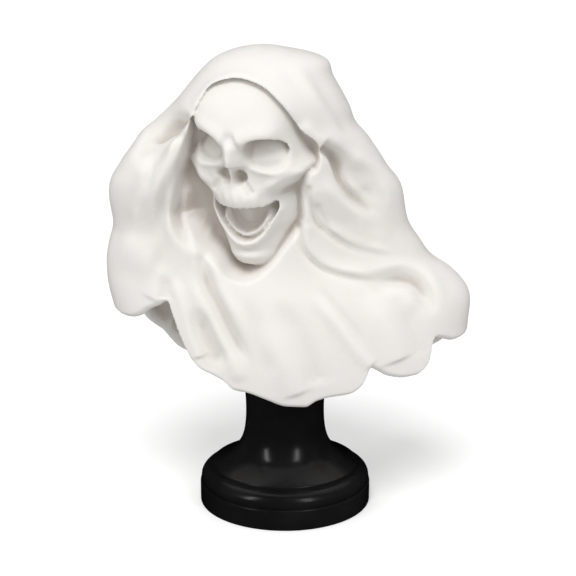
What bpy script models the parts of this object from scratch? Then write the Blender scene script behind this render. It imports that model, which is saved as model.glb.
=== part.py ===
"""Hooded bust on a turned socle.

A skull looks out of a wide hood whose cloth runs down over the shoulders as a ragged hem.
The bust is one casting and stands on a turned foot.
Metres, Z up, the front faces -Y and the foot's underside lies at z = 0 on the axis.
"""
import math

import bmesh
import bpy
import numpy as np

# turned socle
SOCLE_HEIGHT = 0.088
PLINTH_RADIUS = 0.060
PLINTH_HEIGHT = 0.0143
PLINTH_EDGE = 0.0008
GROOVE_DEPTH = 0.0015
TORUS_HEIGHT = 0.0095
COLLAR_RADIUS = 0.0513
COLLAR_HEIGHT = 0.0032
NECK_RADIUS = 0.0267
NECK_TOP_RADIUS = 0.0290
SOCLE_STEPS = 40

# cast bust
BUST_HEIGHT = 0.230
SEAT_GAP = 0.0003
SEAT_RADIUS = 0.031
HEM_THICKNESS = 0.007
POCKET_DEPTH = 0.040
HEAD_SCALE = 1.0
FOLD_SCALE = 1.0
CRISP_WALL = 0.003
BUST_TRIANGLES = 7700
VOXEL = 0.0023
CUTTER_MARGIN = 0.008
CUTTER_DEPTH = 0.012

# The bust is drawn for a height of 230 units above its seat and scaled to BUST_HEIGHT.
UNIT = BUST_HEIGHT / 230.0

# Cloth without folds, from the crown down: height, left, right, front, back
RINGS = (
    (230, -14, -14, 4, 4),
    (228, -30, 1, -12, 22),
    (223.5, -43, 22, -25, 36),
    (219, -50, 30, -33, 44),
    (212, -57, 30.5, -42, 52),
    (204, -64, 35.5, -47, 57),
    (196, -70, 39, -50, 61),
    (188, -77, 43.5, -50.5, 62.5),
    (180, -86.5, 46.5, -50.5, 63),
    (172, -97.5, 54, -50, 63),
    (164, -101.5, 59.5, -48.5, 62),
    (156, -108.5, 65, -47, 60.5),
    (148, -113, 70.5, -45, 58),
    (140, -118.3, 77.5, -43, 56),
    (127, -119.5, 80.5, -39, 52.5),
    (112, -117.3, 83, -37, 51),
    (97, -120.5, 93.5, -37, 52.5),
    (88, -122.2, 98, -38.3, 54.7),
    (80, -122.5, 113, -40.3, 56.6),
    (73, -122.3, 119.5, -43, 58),
    (64, -121, 127, -46, 60),
    (54, -118.5, 128.2, -48.5, 60.5),
    (44, -115, 126.5, -50.5, 60.5),
    (31, -112.5, 126, -52, 58),
    (12, -112, 125.3, -52, 53),
    (-8, -112, 124, -50, 47),
)
RING_SQUARENESS = 2.15
RING_BLUR = 5

# Ragged hem: degrees round from the front towards the bust's left hand, height
HEM = (
    (-180, 1), (-160, 3), (-147, 8), (-137, 13), (-128, 28), (-120, 42), (-112, 51), (-101, 51),
    (-90, 51.5), (-80, 52), (-72, 51.5), (-64, 52), (-57, 54.5), (-50, 60), (-45, 63), (-41, 66),
    (-39.2, 66), (-38.3, 55), (-37.3, 43), (-35.5, 34), (-33.5, 27), (-31, 22.5), (-26.5, 19),
    (-22, 14.5), (-18.8, 9), (-14.5, 7.5), (-8, 2.5), (-2, -2), (3, -2.5), (6.5, 2), (10.5, 4.5),
    (17, 6.5), (20.5, 11), (22.2, 18), (24, 24.5), (26.5, 22.5), (31, 18), (37, 16), (42.5, 16.5),
    (46, 19.5), (48.4, 25), (49.6, 36), (52, 40.5), (57, 39), (66, 36), (76, 36), (88, 37),
    (100, 33), (114, 24), (128, 14), (145, 7), (162, 3.5), (180, 1),
)

# Folds on the front: what it is, width, height, share faded in, share faded out, raised lip,
# then the points (across, height) it runs through
FOLDS = (
    ("long valley", 4.4, -4.0, 0.1, 0.3, 0,
     ((-54, 102), (-54, 91), (-51, 77), (-44, 63), (-37, 49), (-28, 34), (-21, 20))),
    ("left valley", 7.0, -3.4, 0.35, 0.25, 0,
     ((-59, 64), (-54, 48), (-47, 34), (-40, 22))),
    ("ridge between", 5.0, 1.6, 0.3, 0.1, 0,
     ((-68, 91), (-60, 76), (-51, 59), (-42, 42), (-33, 25), (-29, 12))),
    ("left edge ridge", 5.0, 1.8, 0.25, 0.02, 0,
     ((-75, 83), (-68, 66), (-62, 45), (-56, 29))),
    ("ridge under jaw", 5.0, 2.2, 0.2, 0.4, 0,
     ((-51, 99), (-46, 88), (-39, 71), (-29, 55), (-20, 39))),
    ("middle ridge", 8.0, 1.8, 0.4, 0.05, 0,
     ((-19, 56), (-9, 40), (1, 22), (8, 4))),
    ("middle valley", 6.0, -1.5, 0.4, 0.1, -0.6,
     ((-9, 70), (2, 57), (11, 42), (17, 26), (21, 11))),
    ("notch ridge", 4.2, 1.5, 0.35, 0.02, 0,
     ((14, 74), (25, 62), (37, 48), (47, 36), (57, 24))),
    ("lobe ridge", 9.0, 2.0, 0.4, 0.03, 0,
     ((50, 72), (60, 59), (69, 43), (75, 26))),
    ("lobe valley", 6.0, -1.0, 0.4, 0.15, 0,
     ((73, 63), (81, 50), (87, 36), (89, 26))),
    ("wing step", 2.3, -2.8, 0.05, 0.3, 1.5,
     ((9, 119), (10, 110), (12, 101), (17, 94), (24, 88), (33, 84), (44, 81), (55, 79), (65, 79))),
    ("wing shade", 6.0, -5.0, 0.5, 0.3, 2.4,
     ((44, 80), (60, 79), (75, 79), (85, 75), (92, 70), (97, 61), (99, 52))),
    ("wing ridge", 4.6, 1.6, 0.25, 0.25, 0,
     ((21, 94), (36, 87), (54, 84), (74, 86), (89, 81), (100, 71), (106, 58))),
    ("second valley", 2.4, -2.8, 0.05, 0.6, 0.7,
     ((16, 143), (16, 134), (17, 126), (22, 117), (29, 111), (38, 104), (47, 99), (58, 96), (70, 93))),
    ("second ridge", 3.0, 1.6, 0.25, 0.35, 0,
     ((23, 122), (30, 114), (38, 108), (50, 103), (64, 98), (81, 94))),
    ("neck ridge", 4.4, 1.8, 0.2, 0.3, 0,
     ((18, 148), (21, 139), (27, 130), (37, 124), (50, 119), (66, 115))),
    ("neck edge", 4.2, 2.4, 0.3, 0.3, 0,
     ((23, 148), (27, 141), (35, 133), (46, 126), (59, 119))),
    ("hood side valley", 2.7, -5.5, 0.03, 0.45, 0,
     ((21, 170), (27, 164), (33, 156), (36, 148), (41, 139), (48, 131), (56, 125), (68, 122))),
    ("hood side plane", 9.0, -5.0, 0.15, 0.3, 0,
     ((26, 166), (34, 156), (37, 147), (45, 138), (56, 130), (68, 124))),
    ("hood lip", 4.2, 1.8, 0.1, 0.25, 0,
     ((9, 184), (21, 175), (34, 167), (49, 159), (65, 148), (77, 138))),
    ("hood rim top", 3.0, 1.4, 0.08, 0.15, 0,
     ((-59, 188), (-55, 196), (-45, 208), (-30, 212), (-14, 207), (-1, 196), (11, 182))),
    ("shoulder edge", 3.2, 0.0, 0.4, 0.45, 2.0,
     ((-110, 150), (-102, 157), (-93, 166), (-81, 176), (-70, 184), (-60, 189), (-55, 196), (-49, 201))),
    ("shoulder plane", 8.0, -6.0, 0.04, 0.5, 0,
     ((-62, 183), (-74, 178), (-86, 168), (-94, 158), (-101, 150))),
    ("fan ridge", 4.4, 3.2, 0.1, 0.4, 0,
     ((-66, 183), (-67, 174), (-72, 164), (-77, 153), (-82, 140), (-86, 124), (-88, 109))),
    ("fan valley", 3.8, -2.8, 0.15, 0.35, 0,
     ((-69, 181), (-79, 169), (-84, 158), (-89, 146), (-92, 133))),
    ("fan inner valley", 4.2, -3.0, 0.1, 0.35, 0,
     ((-63, 178), (-67, 166), (-71, 154), (-75, 143), (-78, 130), (-81, 115), (-81, 102))),
    ("left plane ridge", 6.0, 1.8, 0.3, 0.3, 0,
     ((-83, 165), (-88, 152), (-94, 138), (-99, 123), (-102, 105))),
    ("left bulge", 13.0, 2.6, 0.3, 0.3, 0,
     ((-111, 104), (-97, 95), (-82, 89))),
    ("left lobe ridge", 6.0, 1.4, 0.3, 0.1, 0,
     ((-79, 90), (-84, 78), (-89, 64))),
    ("left lobe valley", 4.0, -1.6, 0.5, 0.02, 0,
     ((-78, 82), (-79, 73), (-79, 66))),
    ("inner ridge a", 4.4, 2.6, 0.2, 0.4, 0,
     ((-67, 157), (-70, 147), (-73, 136), (-74, 124), (-73, 110), (-70, 97))),
    ("inner valley b", 3.8, -2.8, 0.1, 0.35, 0,
     ((-65, 154), (-68, 143), (-70, 131), (-70, 119), (-66, 108), (-61, 97), (-57, 87))),
    ("inner ridge b", 4.8, 2.8, 0.2, 0.35, 0,
     ((-58, 148), (-63, 138), (-65, 126), (-64, 115), (-61, 104), (-57, 91), (-51, 77))),
)

# Outline of the hollow round the head: across, height, width of its wall, share of its depth
POCKET = (
    (-30, 211, 3, 0.8), (-14, 206, 3, 0.5), (-1, 194, 3, 0.28), (10, 180, 3.2, 0.17),
    (21, 169, 3.6, 0.2), (25, 161, 5, 0.32), (26, 154, 6, 0.32), (25, 148, 8, 0.32),
    (21, 144, 11, 0.38), (17, 141, 11, 0.45), (14, 131, 6, 0.5), (11, 115, 5, 0.32),
    (0, 100, 6, 0.36), (-11, 85, 9, 0.5), (-24, 77, 11, 0.6), (-38, 80, 12, 0.62), (-47, 89, 14, 0.7),
    (-57, 94, 24, 0.8), (-66, 98, 30, 0.7), (-76, 107, 30, 0.6), (-82, 121, 26, 0.6),
    (-79, 138, 20, 0.65), (-74, 152, 15, 0.75), (-69, 165, 11, 0.75), (-64, 175, 7, 0.6),
    (-61, 183, 4, 0.42), (-57, 190, 3, 0.3), (-55, 197, 3, 0.3), (-46, 207, 3, 0.5),
)

# Bare skull in its own frame, from the crown down: height over the bridge of the nose, half width,
# front, back, squareness of the section
SKULL = (
    (51, 0, 10, 10, 2.0),
    (49.5, 14, -4, 24, 2.0),
    (45, 24, -17.5, 34, 2.0),
    (38, 31.5, -29, 43, 2.0),
    (28, 37.5, -39, 50, 2.1),
    (16, 39.5, -45.5, 54, 2.2),
    (5, 38.5, -48, 54, 2.3),
    (-6, 39.5, -47, 52, 2.3),
    (-15, 40, -45, 46, 2.2),
    (-24, 37, -44.5, 40, 2.0),
    (-33, 34, -45.5, 34, 1.8),
    (-42, 31.5, -46, 27, 1.7),
    (-52, 30, -43.5, 17, 1.65),
    (-62, 23.8, -40.5, 4, 1.65),
    (-71, 18.8, -38, -7, 1.75),
    (-79, 14.6, -36, -14, 1.9),
    (-84, 10, -32, -18.5, 2.0),
    (-86, 0, -25, -25, 2.0),
)
SKULL_TURN = -22.0
SKULL_NOD = 6.0
BRIDGE_OF_NOSE = (-33.3, -50.0, 170.6)

# The head is a little lopsided: how far an eye drops and the jaw swings, as shares of the way out
LOPSIDED = (0.10, 0.022)


def smooth(t):
    """Smooth step: 0 below 0, 1 above 1, 3t^2 - 2t^3 between."""
    t = np.clip(t, 0.0, 1.0)
    return t * t * (3.0 - 2.0 * t)


def hermite(xs, ys, x):
    """Piecewise cubic through the points with slopes limited so that it never overshoots."""
    xs = np.asarray(xs, float)
    ys = np.asarray(ys, float)
    gap = np.diff(xs)
    slope = np.diff(ys) / gap
    tangent = np.zeros_like(ys)
    same = slope[:-1] * slope[1:] > 0
    tangent[1:-1][same] = 2 * slope[:-1][same] * slope[1:][same] / (slope[:-1] + slope[1:])[same]
    tangent[0] = slope[0]
    tangent[-1] = slope[-1]
    k = np.clip(np.searchsorted(xs, x) - 1, 0, len(xs) - 2)
    t = np.clip((x - xs[k]) / gap[k], 0.0, 1.0)
    a = (1 + 2 * t) * (1 - t) ** 2 * ys[k] + t * (1 - t) ** 2 * gap[k] * tangent[k]
    return a + t * t * (3 - 2 * t) * ys[k + 1] + t * t * (t - 1) * gap[k] * tangent[k + 1]


def spline(points, s):
    """Catmull-Rom curve through points, an array (count, ...), at the positions s."""
    last = len(points) - 1
    k = np.clip(np.floor(s).astype(int), 0, last - 1)
    f = np.clip(s - k, 0.0, 1.0)
    rows = [points[np.clip(k + j, 0, last)] for j in (-1, 0, 1, 2)]
    f = f.reshape(f.shape + (1,) * (rows[0].ndim - f.ndim))
    cubic = 2 * rows[1] + (rows[2] - rows[0]) * f
    cubic = cubic + (2 * rows[0] - 5 * rows[1] + 4 * rows[2] - rows[3]) * f * f
    cubic = cubic + (3 * rows[1] - rows[0] - 3 * rows[2] + rows[3]) * f ** 3
    return 0.5 * cubic


def to_path(x, z, path):
    """Distance from each point to a polyline, the share along it, and the signed side (left positive)."""
    path = np.asarray(path, float)
    lengths = np.hypot(*np.diff(path, axis=0).T)
    start = np.concatenate([[0.0], np.cumsum(lengths)])
    best = np.full(x.shape, 1e9)
    along = np.zeros(x.shape)
    side = np.zeros(x.shape)
    for k, length in enumerate(lengths):
        (ax, az), (bx, bz) = path[k], path[k + 1]
        dx, dz = (bx - ax) / length, (bz - az) / length
        t = np.clip((x - ax) * dx + (z - az) * dz, 0.0, length)
        gx, gz = x - ax - t * dx, z - az - t * dz
        distance = np.hypot(gx, gz)
        near = distance < best
        best = np.where(near, distance, best)
        along = np.where(near, (start[k] + t) / start[-1], along)
        side = np.where(near, np.sign(dx * gz - dz * gx), side)
    return best, along, side


def stroke(x, z, path, width, height, fade_in=0.15, fade_out=0.15, lip=0.0, samples=5):
    """Ridge or valley along a path: height * exp(-(d / width)^2), faded at both ends.

    A lip raises the ground on the left of the path and falls away over three widths.
    """
    path = np.asarray(path, float)
    path = spline(path, np.linspace(0, len(path) - 1, (len(path) - 1) * samples + 1))
    d, along, side = to_path(x, z, path)
    ends = smooth(along / max(fade_in, 1e-3)) * smooth((1 - along) / max(fade_out, 1e-3))
    out = height * np.exp(-(d / width) ** 2)
    if lip:
        out = out + lip * 0.5 * (1 + np.tanh(side * d / width)) * np.exp(-(d / (3 * width)) ** 2)
    return out * ends


def mirrored(rows, signs):
    """Puts a mirrored copy of the second row before the first, so that a pole stays round."""
    return np.vstack([rows[1] * signs, rows])


def ring_curves():
    """Cloth sections against the distance run down the cloth: height, centres and half sizes, blurred."""
    h, left, right, front, back = np.array(RINGS, float).T
    rows = np.stack([h, (left + right) / 2, (right - left) / 2, (front + back) / 2, (back - front) / 2], 1)
    rows[0, [1, 3]] = rows[1, [1, 3]]
    run = np.linalg.norm(np.diff(rows[:, [0, 2, 4]], axis=0), axis=1)
    run = np.concatenate([[0.0], np.cumsum(run)])
    at, rows = np.concatenate([[-run[1]], run]), mirrored(rows, np.array([1, 1, -1, 1, -1]))
    fine = np.arange(at[0], at[-1] + 1.0)
    weight = np.exp(-0.5 * (np.arange(-3 * RING_BLUR, 3 * RING_BLUR + 1) / RING_BLUR) ** 2)
    rows = [np.pad(hermite(at, rows[:, k], fine), 3 * RING_BLUR, mode="edge") for k in range(5)]
    return fine, np.stack([np.convolve(row, weight / weight.sum(), mode="valid") for row in rows], 1)


def bare_cloth(theta, run, curves):
    """Cloth with no folds: superellipse rings whose size, centre and height follow the sections."""
    at, rows = curves
    h, cx, wx, cy, wy = (hermite(at, rows[:, k], run) for k in range(5))
    power = 2.0 / RING_SQUARENESS
    s, c = np.sin(theta), np.cos(theta)
    x = cx + wx * np.sign(s) * np.abs(s) ** power
    y = cy - wy * np.sign(c) * np.abs(c) ** power
    return np.stack([x, y, h], -1)


def cloth_normal(theta, run, curves):
    """Outward normal of the bare cloth by differences."""
    across = bare_cloth(theta + 1e-3, run, curves) - bare_cloth(theta - 1e-3, run, curves)
    down = bare_cloth(theta, run + 0.2, curves) - bare_cloth(theta, np.maximum(run - 0.2, 1e-3), curves)
    normal = np.cross(down, across)
    length = np.linalg.norm(normal, axis=-1, keepdims=True)
    up = np.array([0.0, 0.0, 1.0])
    return np.where(length > 1e-9, normal / np.maximum(length, 1e-9), up)


def hem_height(theta):
    """Height of the ragged hem at each angle."""
    rows = np.array(HEM, float)
    before = rows[-3:-1] - (360, 0)
    after = rows[1:3] + (360, 0)
    rows = np.vstack([before, rows, after])
    return hermite(rows[:, 0], rows[:, 1], (np.degrees(theta) + 180) % 360 - 180)


def pocket(x, z):
    """Signed distance inside the pocket, the wall's width, the way in from the rim and the depth share."""
    rim = np.array(POCKET, float)
    closed = np.vstack([rim[-1:], rim, rim[:2]])
    count = len(rim)
    rim = spline(closed, 1 + np.arange(count * 5 + 1) / 5)
    best = np.full(x.shape, 1e9)
    width, way_x, way_z, share, total = (np.zeros(x.shape) for _ in range(5))
    inside = np.zeros(x.shape, bool)
    for (ax, az, wa, da), (bx, bz, wb, _) in zip(rim[:-1], rim[1:]):
        sx, sz = bx - ax, bz - az
        t = np.clip(((x - ax) * sx + (z - az) * sz) / (sx * sx + sz * sz), 0.0, 1.0)
        gx, gz = x - ax - t * sx, z - az - t * sz
        distance = np.hypot(gx, gz)
        near = distance < best
        best = np.where(near, distance, best)
        width = np.where(near, wa + (wb - wa) * t, width)
        way_x = np.where(near, gx, way_x)
        way_z = np.where(near, gz, way_z)
        weight = (distance ** 2 + 9.0) ** -1.5
        share += weight * da
        total += weight
        inside ^= ((az > z) != (bz > z)) & (x < sx * (z - az) / (bz - az + 1e-12) + ax)
    sign = np.where(inside, 1.0, -1.0)
    length = np.maximum(np.hypot(way_x, way_z), 1e-6)
    return best * sign, width, way_x / length * sign, way_z / length * sign, share / total


def back_folds(theta, share):
    """Long folds down the back and sides: rounded ridges with sharper valleys, |cos| to a power of the angle.

    They gather towards the crown, drift sideways on the way down and deepen towards the hem.
    """
    angle = np.degrees(theta) % 360 - 180
    turn = np.radians(angle * 5.6 + 46 * share * np.sin(np.radians(angle * 1.9 + 20)) + 25)
    main = 1.9 * np.abs(np.cos(turn)) ** 0.75 - 1.15
    broad = np.sin(np.radians(angle * 2.7 + 50 + 30 * share))
    turn = np.radians(angle * 12.3 - 80 * share + 70)
    fine = 1.8 * np.abs(np.cos(turn)) ** 0.85 - 1.1
    deep = 4.6 * smooth((share - 0.12) / 0.55)
    folds = main + 0.55 * broad + 0.3 * fine * smooth((share - 0.35) / 0.35)
    return deep * folds * smooth((99 - np.abs(angle)) / 26)


def outer_cloth(theta, share):
    """Outside of the cloth from the crown (share 0) to the hem (share 1), folded and hollowed."""
    curves = ring_curves()
    fine = np.linspace(0, curves[0][-1], 2000)
    heights = hermite(curves[0], curves[1][:, 0], fine)
    run = np.interp(-hem_height(theta), -heights, fine) * share
    p = bare_cloth(theta, run, curves)
    normal = cloth_normal(theta, run, curves)
    x, z = p[:, 0].copy(), p[:, 2].copy()
    relief = np.zeros(len(x))
    for _, width, height, fade_in, fade_out, lip, path in FOLDS:
        relief += stroke(x, z, path, width, height, fade_in, fade_out, lip)
    relief *= smooth((0.05 - normal[:, 1]) / 0.45)
    p += normal * (FOLD_SCALE * (relief + back_folds(theta, share)))[:, None]
    inside, width, way_x, way_z, depth = pocket(p[:, 0], p[:, 2])
    sunk = smooth(inside / width) * smooth((0.25 - normal[:, 1]) / 0.3)
    lean = np.clip(2 * CRISP_WALL / UNIT - width, 0, 4) * np.sin(np.pi * sunk) * 0.9
    p[:, 0] -= way_x * lean
    p[:, 1] += POCKET_DEPTH / UNIT * sunk * depth
    p[:, 2] -= way_z * lean
    return p


def inner_cloth(theta, share):
    """Underside from the hem (share 0) over its lip, up into the hollow and down to the seat (share 1)."""
    hem = outer_cloth(theta, np.ones_like(theta))
    reach = np.hypot(hem[:, 0], hem[:, 1])
    hollow = np.clip((reach - 60) * 0.35, 4, 16)
    lip = HEM_THICKNESS / UNIT
    seat = SEAT_RADIUS / UNIT

    def at(radius, height):
        """Point at a radius on the way from the axis to the hem."""
        radius = np.broadcast_to(radius, reach.shape)
        height = np.broadcast_to(height, reach.shape)
        return np.stack([hem[:, 0] / reach * radius, hem[:, 1] / reach * radius, height], -1)

    z = hem[:, 2]
    points = np.stack([
        hem,
        at(reach - 0.5 * lip, z - 2.2),
        at(reach - lip, z + 1.0),
        at(reach - lip - 3, z + 0.8 * hollow),
        at(np.maximum(0.72 * reach, seat + 8), np.maximum(z + hollow, 13.0)),
        at(np.maximum(0.5 * reach, seat + 3), np.maximum(0.5 * (z + hollow), 9.0)),
        at(seat, 1.0),
        at(seat, -2.5),
        at(0.5 * seat, -2.5),
        at(0.0, -2.5),
    ])
    s = share * (len(points) - 1)
    k = np.arange(len(theta))
    rows = [points[np.clip(np.floor(s).astype(int) + j, 0, len(points) - 1), k] for j in (-1, 0, 1, 2)]
    f = (s - np.clip(np.floor(s), 0, len(points) - 1))[:, None]
    cubic = 2 * rows[1] + (rows[2] - rows[0]) * f
    cubic = cubic + (2 * rows[0] - 5 * rows[1] + 4 * rows[2] - rows[3]) * f * f
    cubic = cubic + (3 * rows[1] - rows[0] - 3 * rows[2] + rows[3]) * f ** 3
    return 0.5 * cubic


def mound(x, z, cx, cz, a, b, height, tilt=0.0):
    """Rounded mound: height * exp(-(u/a)^2 - (v/b)^2) in axes tilted by so many degrees."""
    c, s = math.cos(math.radians(tilt)), math.sin(math.radians(tilt))
    u = (x - cx) * c + (z - cz) * s
    v = (z - cz) * c - (x - cx) * s
    return height * np.exp(-(u / a) ** 2 - (v / b) ** 2)


def socket(ax, z):
    """Eye socket: a superellipse bowl whose floor deepens towards the brow; returns depth and upward pull."""
    c, s = math.cos(math.radians(6)), math.sin(math.radians(6))
    u = (ax - 19.2) * c + (z + 6.1) * s
    v = (z + 6.1) * c - (ax - 19.2) * s
    ring = (np.abs(u / 13.6) ** 2.2 + np.abs(v / 11.8) ** 2.2) ** (1 / 2.2)
    rise = np.clip(v / 11.8, -1, 1)
    depth = 18.0 * smooth((1 - ring) * 10.5 / (3.6 - 1.9 * rise)) * (0.2 + 0.8 * smooth(0.27 + 0.72 * rise))
    return depth, 0.32 * depth * smooth(0.5 + 0.8 * rise)


def face(x, y, z):
    """Carves the face: every feature pushes the bare head forward (towards -y) or sideways."""
    ax = np.abs(x)
    out = stroke(ax, z, ((3, 0.5), (9, 4), (16, 7.6), (23, 8.4), (30, 4)), 6.5, 4.2, 0.15, 0.3)
    out += mound(ax, z, 13, 20, 15, 12, 1.2) + mound(x, z, 0, 9, 10, 11, 2.2)
    out -= mound(ax, z, 2.8, 6, 0.9, 4.0, 0.7)
    out += stroke(ax, z, ((8, -12), (13, -15), (20, -16.4), (27, -14), (32.5, -7)), 2.6, 1.8, 0.2, 0.2)
    out += stroke(ax, z, ((14, -23), (22, -26), (30, -24), (37, -17)), 5.5, 3.5, 0.3, 0.1)
    out -= mound(ax, z, 30, -33, 7, 3.4, 2.8, 14)
    out += stroke(x + 0.6, z, ((0, 6), (0, -4), (0, -14)), 5.2, 7.0, 0.45, 0.01)
    out += mound(x, z, -0.6, -11, 5, 7, 3.4)
    out += mound(x + 2.5, z, 0, -20, 1.8, 6, 3.2)
    out += mound(ax, z, 0, -35, 17, 9, 4.4)
    out += 0.45 * np.cos(x * 2 * np.pi / 6.2) * np.exp(-((z + 36) / 4.5) ** 2) * smooth((20 - ax) / 5)
    out += stroke(ax, z, ((0, -68.6), (8, -66.4), (15, -60), (20.5, -50.5), (24.5, -41)), 2.3, 2.6, 0.01, 0.12)
    out += mound(ax, z, 0, -78, 12, 5, 2.4) - mound(ax, z, 0, -73, 12, 2.2, 1.1)
    bowl, pull = socket(ax, z)
    nostril = np.abs(x + 2.5)
    hole = 7.0 * smooth((1 - np.hypot((nostril - 5.0) / 5.2, (z + 21.6) / 6.4)) * 1.6)
    tail, _, _ = to_path(nostril, z, ((6.5, -24), (11.0, -31)))
    hole = np.maximum(hole, 3.2 * np.exp(-(tail / 2.0) ** 2))
    half = 23.0
    top = -41.5 + 3.0 * smooth((ax - 14) / 8) + 0.45 * np.cos(x * 2 * np.pi / 4.1)
    bottom = -66.8 + 23.0 * (ax / half) ** 2.1
    inside = np.minimum(np.minimum(top - z, z - bottom), (half - ax) * 0.9)
    mouth = 14.0 * smooth(inside / 2.4 + 0.1)
    gum = stroke(ax, z, ((0, -62.8), (7, -60.6), (13, -54.6), (18, -45)), 2.6, 10.8, 0.01, 0.3)
    front = smooth((8 - y) / 26.0)
    push = (out - bowl - hole - mouth + np.minimum(gum, mouth * 0.78)) * front
    side = stroke(y, z, ((-44, -22), (-32, -18), (-18, -12), (2, -8)), 5.0, 4.5, 0.1, 0.3)
    side += mound(y, z, 4, -50, 12, 13, 2.5) - mound(y, z, -22, 12, 12, 13, 3.2)
    side -= mound(y, z, -24, -33, 13, 7, 4.5, 15)
    x = x + np.sign(x) * side * smooth(ax / 20)
    z = z + pull * front
    x = x - 1.9 * smooth((z + 2) / 22)
    drop, swing = LOPSIDED
    z = z - drop * x * smooth((z + 45) / 35) * smooth((60 - z) / 40)
    x = x - swing * np.minimum(z, 0) * smooth(-z / 12)
    return np.stack([x, y - push, z], -1)


def skull(theta, share):
    """Skull from its crown (share 0) to the chin (share 1), carved, turned to its right and nodding."""
    bare = np.array(SKULL, float)
    h, half, front, back, square = bare.T
    rows = np.stack([h, half, (front + back) / 2, (back - front) / 2, square], 1)
    run = np.linalg.norm(np.diff(rows[:, [0, 1, 3]], axis=0), axis=1)
    run = np.concatenate([[0.0], np.cumsum(run)])
    flip = np.array([1, -1, 1, -1, 1])
    rows = np.vstack([rows[1] * flip, rows, rows[-2] * flip])
    at = np.concatenate([[-run[1]], run, [2 * run[-1] - run[-2]]])
    s = share * run[-1]
    h, half, centre, deep, square = (hermite(at, rows[:, k], s) for k in range(5))
    power = 2.0 / square
    theta = theta - 0.45 * np.sin(theta)
    x = half * np.sign(np.sin(theta)) * np.abs(np.sin(theta)) ** power
    y = centre - deep * np.sign(np.cos(theta)) * np.abs(np.cos(theta)) ** power
    p = face(x, y, h) * HEAD_SCALE
    turn, nod = math.radians(SKULL_TURN), math.radians(SKULL_NOD)
    yaw = np.array([[math.cos(turn), -math.sin(turn), 0], [math.sin(turn), math.cos(turn), 0], [0, 0, 1]])
    pitch = np.array([[1, 0, 0], [0, math.cos(nod), -math.sin(nod)], [0, math.sin(nod), math.cos(nod)]])
    turned = yaw @ pitch
    bridge = np.array([0.0, HEAD_SCALE * np.interp(0.0, bare[::-1, 0], bare[::-1, 2]), 0.0])
    origin = np.array(BRIDGE_OF_NOSE) - turned @ bridge
    return p @ turned.T + origin


def cloth(theta, share):
    """Whole cloth from the crown round the hem to the middle of the seat."""
    outside = 0.78
    hem_share = np.clip(share / outside, 0.0, 1.0)
    under_share = np.clip((share - outside) / (1 - outside), 0.0, 1.0)
    under = (share > outside)[:, None]
    return np.where(under, inner_cloth(theta, under_share), outer_cloth(theta, hem_share))


def collection(name):
    """New collection in the scene."""
    made = bpy.data.collections.new(name)
    bpy.context.scene.collection.children.link(made)
    return made


def material(name, colour, roughness):
    """Principled material."""
    made = bpy.data.materials.new(name)
    made.use_nodes = True
    shader = made.node_tree.nodes["Principled BSDF"]
    shader.inputs["Base Color"].default_value = (*colour, 1.0)
    shader.inputs["Roughness"].default_value = roughness
    return made


def add_object(name, mesh, home, look=None):
    """Object that holds a mesh, in its collection and with its material."""
    made = bpy.data.objects.new(name, mesh)
    home.objects.link(made)
    if look is not None:
        mesh.materials.append(look)
    return made


def shaped_sphere(bm, columns, rows, shape):
    """Adds a UV sphere and moves each vertex to shape(angle from the front, share of the way down)."""
    made = bmesh.ops.create_uvsphere(bm, u_segments=columns, v_segments=rows, radius=1.0)["verts"]
    co = np.array([v.co[:] for v in made])
    theta = np.arctan2(co[:, 0], -co[:, 1])
    share = np.arccos(np.clip(co[:, 2], -1, 1)) / np.pi
    placed = shape(theta, share) * UNIT
    placed[:, 2] += SOCLE_HEIGHT
    for vertex, place in zip(made, placed):
        vertex.co = place


def build_bust(home, cutters):
    """Cloth and skull joined by voxels, smoothed, thinned and cut flat at the seat."""
    bm = bmesh.new()
    shaped_sphere(bm, 260, 230, cloth)
    shaped_sphere(bm, 220, 240, skull)
    mesh = bpy.data.meshes.new("hooded_bust")
    bm.to_mesh(mesh)
    bm.free()
    bust = add_object("hooded_bust", mesh, home, material("cast_marble", (0.86, 0.84, 0.80), 0.42))
    join = bust.modifiers.new("Join", "REMESH")
    join.mode = "VOXEL"
    join.voxel_size = VOXEL
    join.use_smooth_shade = True
    even = bust.modifiers.new("Even", "SMOOTH")
    even.factor = 0.5
    even.iterations = 2
    bpy.context.view_layer.update()
    joined = bust.evaluated_get(bpy.context.evaluated_depsgraph_get()).data
    joined.calc_loop_triangles()
    thin = bust.modifiers.new("Thin", "DECIMATE")
    thin.ratio = BUST_TRIANGLES / len(joined.loop_triangles)
    thin.use_collapse_triangulate = True
    bm = bmesh.new()
    radius = SEAT_RADIUS + CUTTER_MARGIN
    bmesh.ops.create_cone(bm, cap_ends=True, segments=48, radius1=radius, radius2=radius, depth=CUTTER_DEPTH)
    bmesh.ops.translate(bm, verts=bm.verts, vec=(0, 0, SOCLE_HEIGHT + SEAT_GAP - CUTTER_DEPTH / 2))
    mesh = bpy.data.meshes.new("seat_cutter")
    bm.to_mesh(mesh)
    bm.free()
    cutter = add_object("seat_cutter", mesh, cutters)
    cutter.hide_render = True
    cutter.display_type = "WIRE"
    seat = bust.modifiers.new("Seat", "BOOLEAN")
    seat.operation = "DIFFERENCE"
    seat.solver = "EXACT"
    seat.object = cutter
    bust.modifiers.new("Facets", "TRIANGULATE")
    return bust


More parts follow.
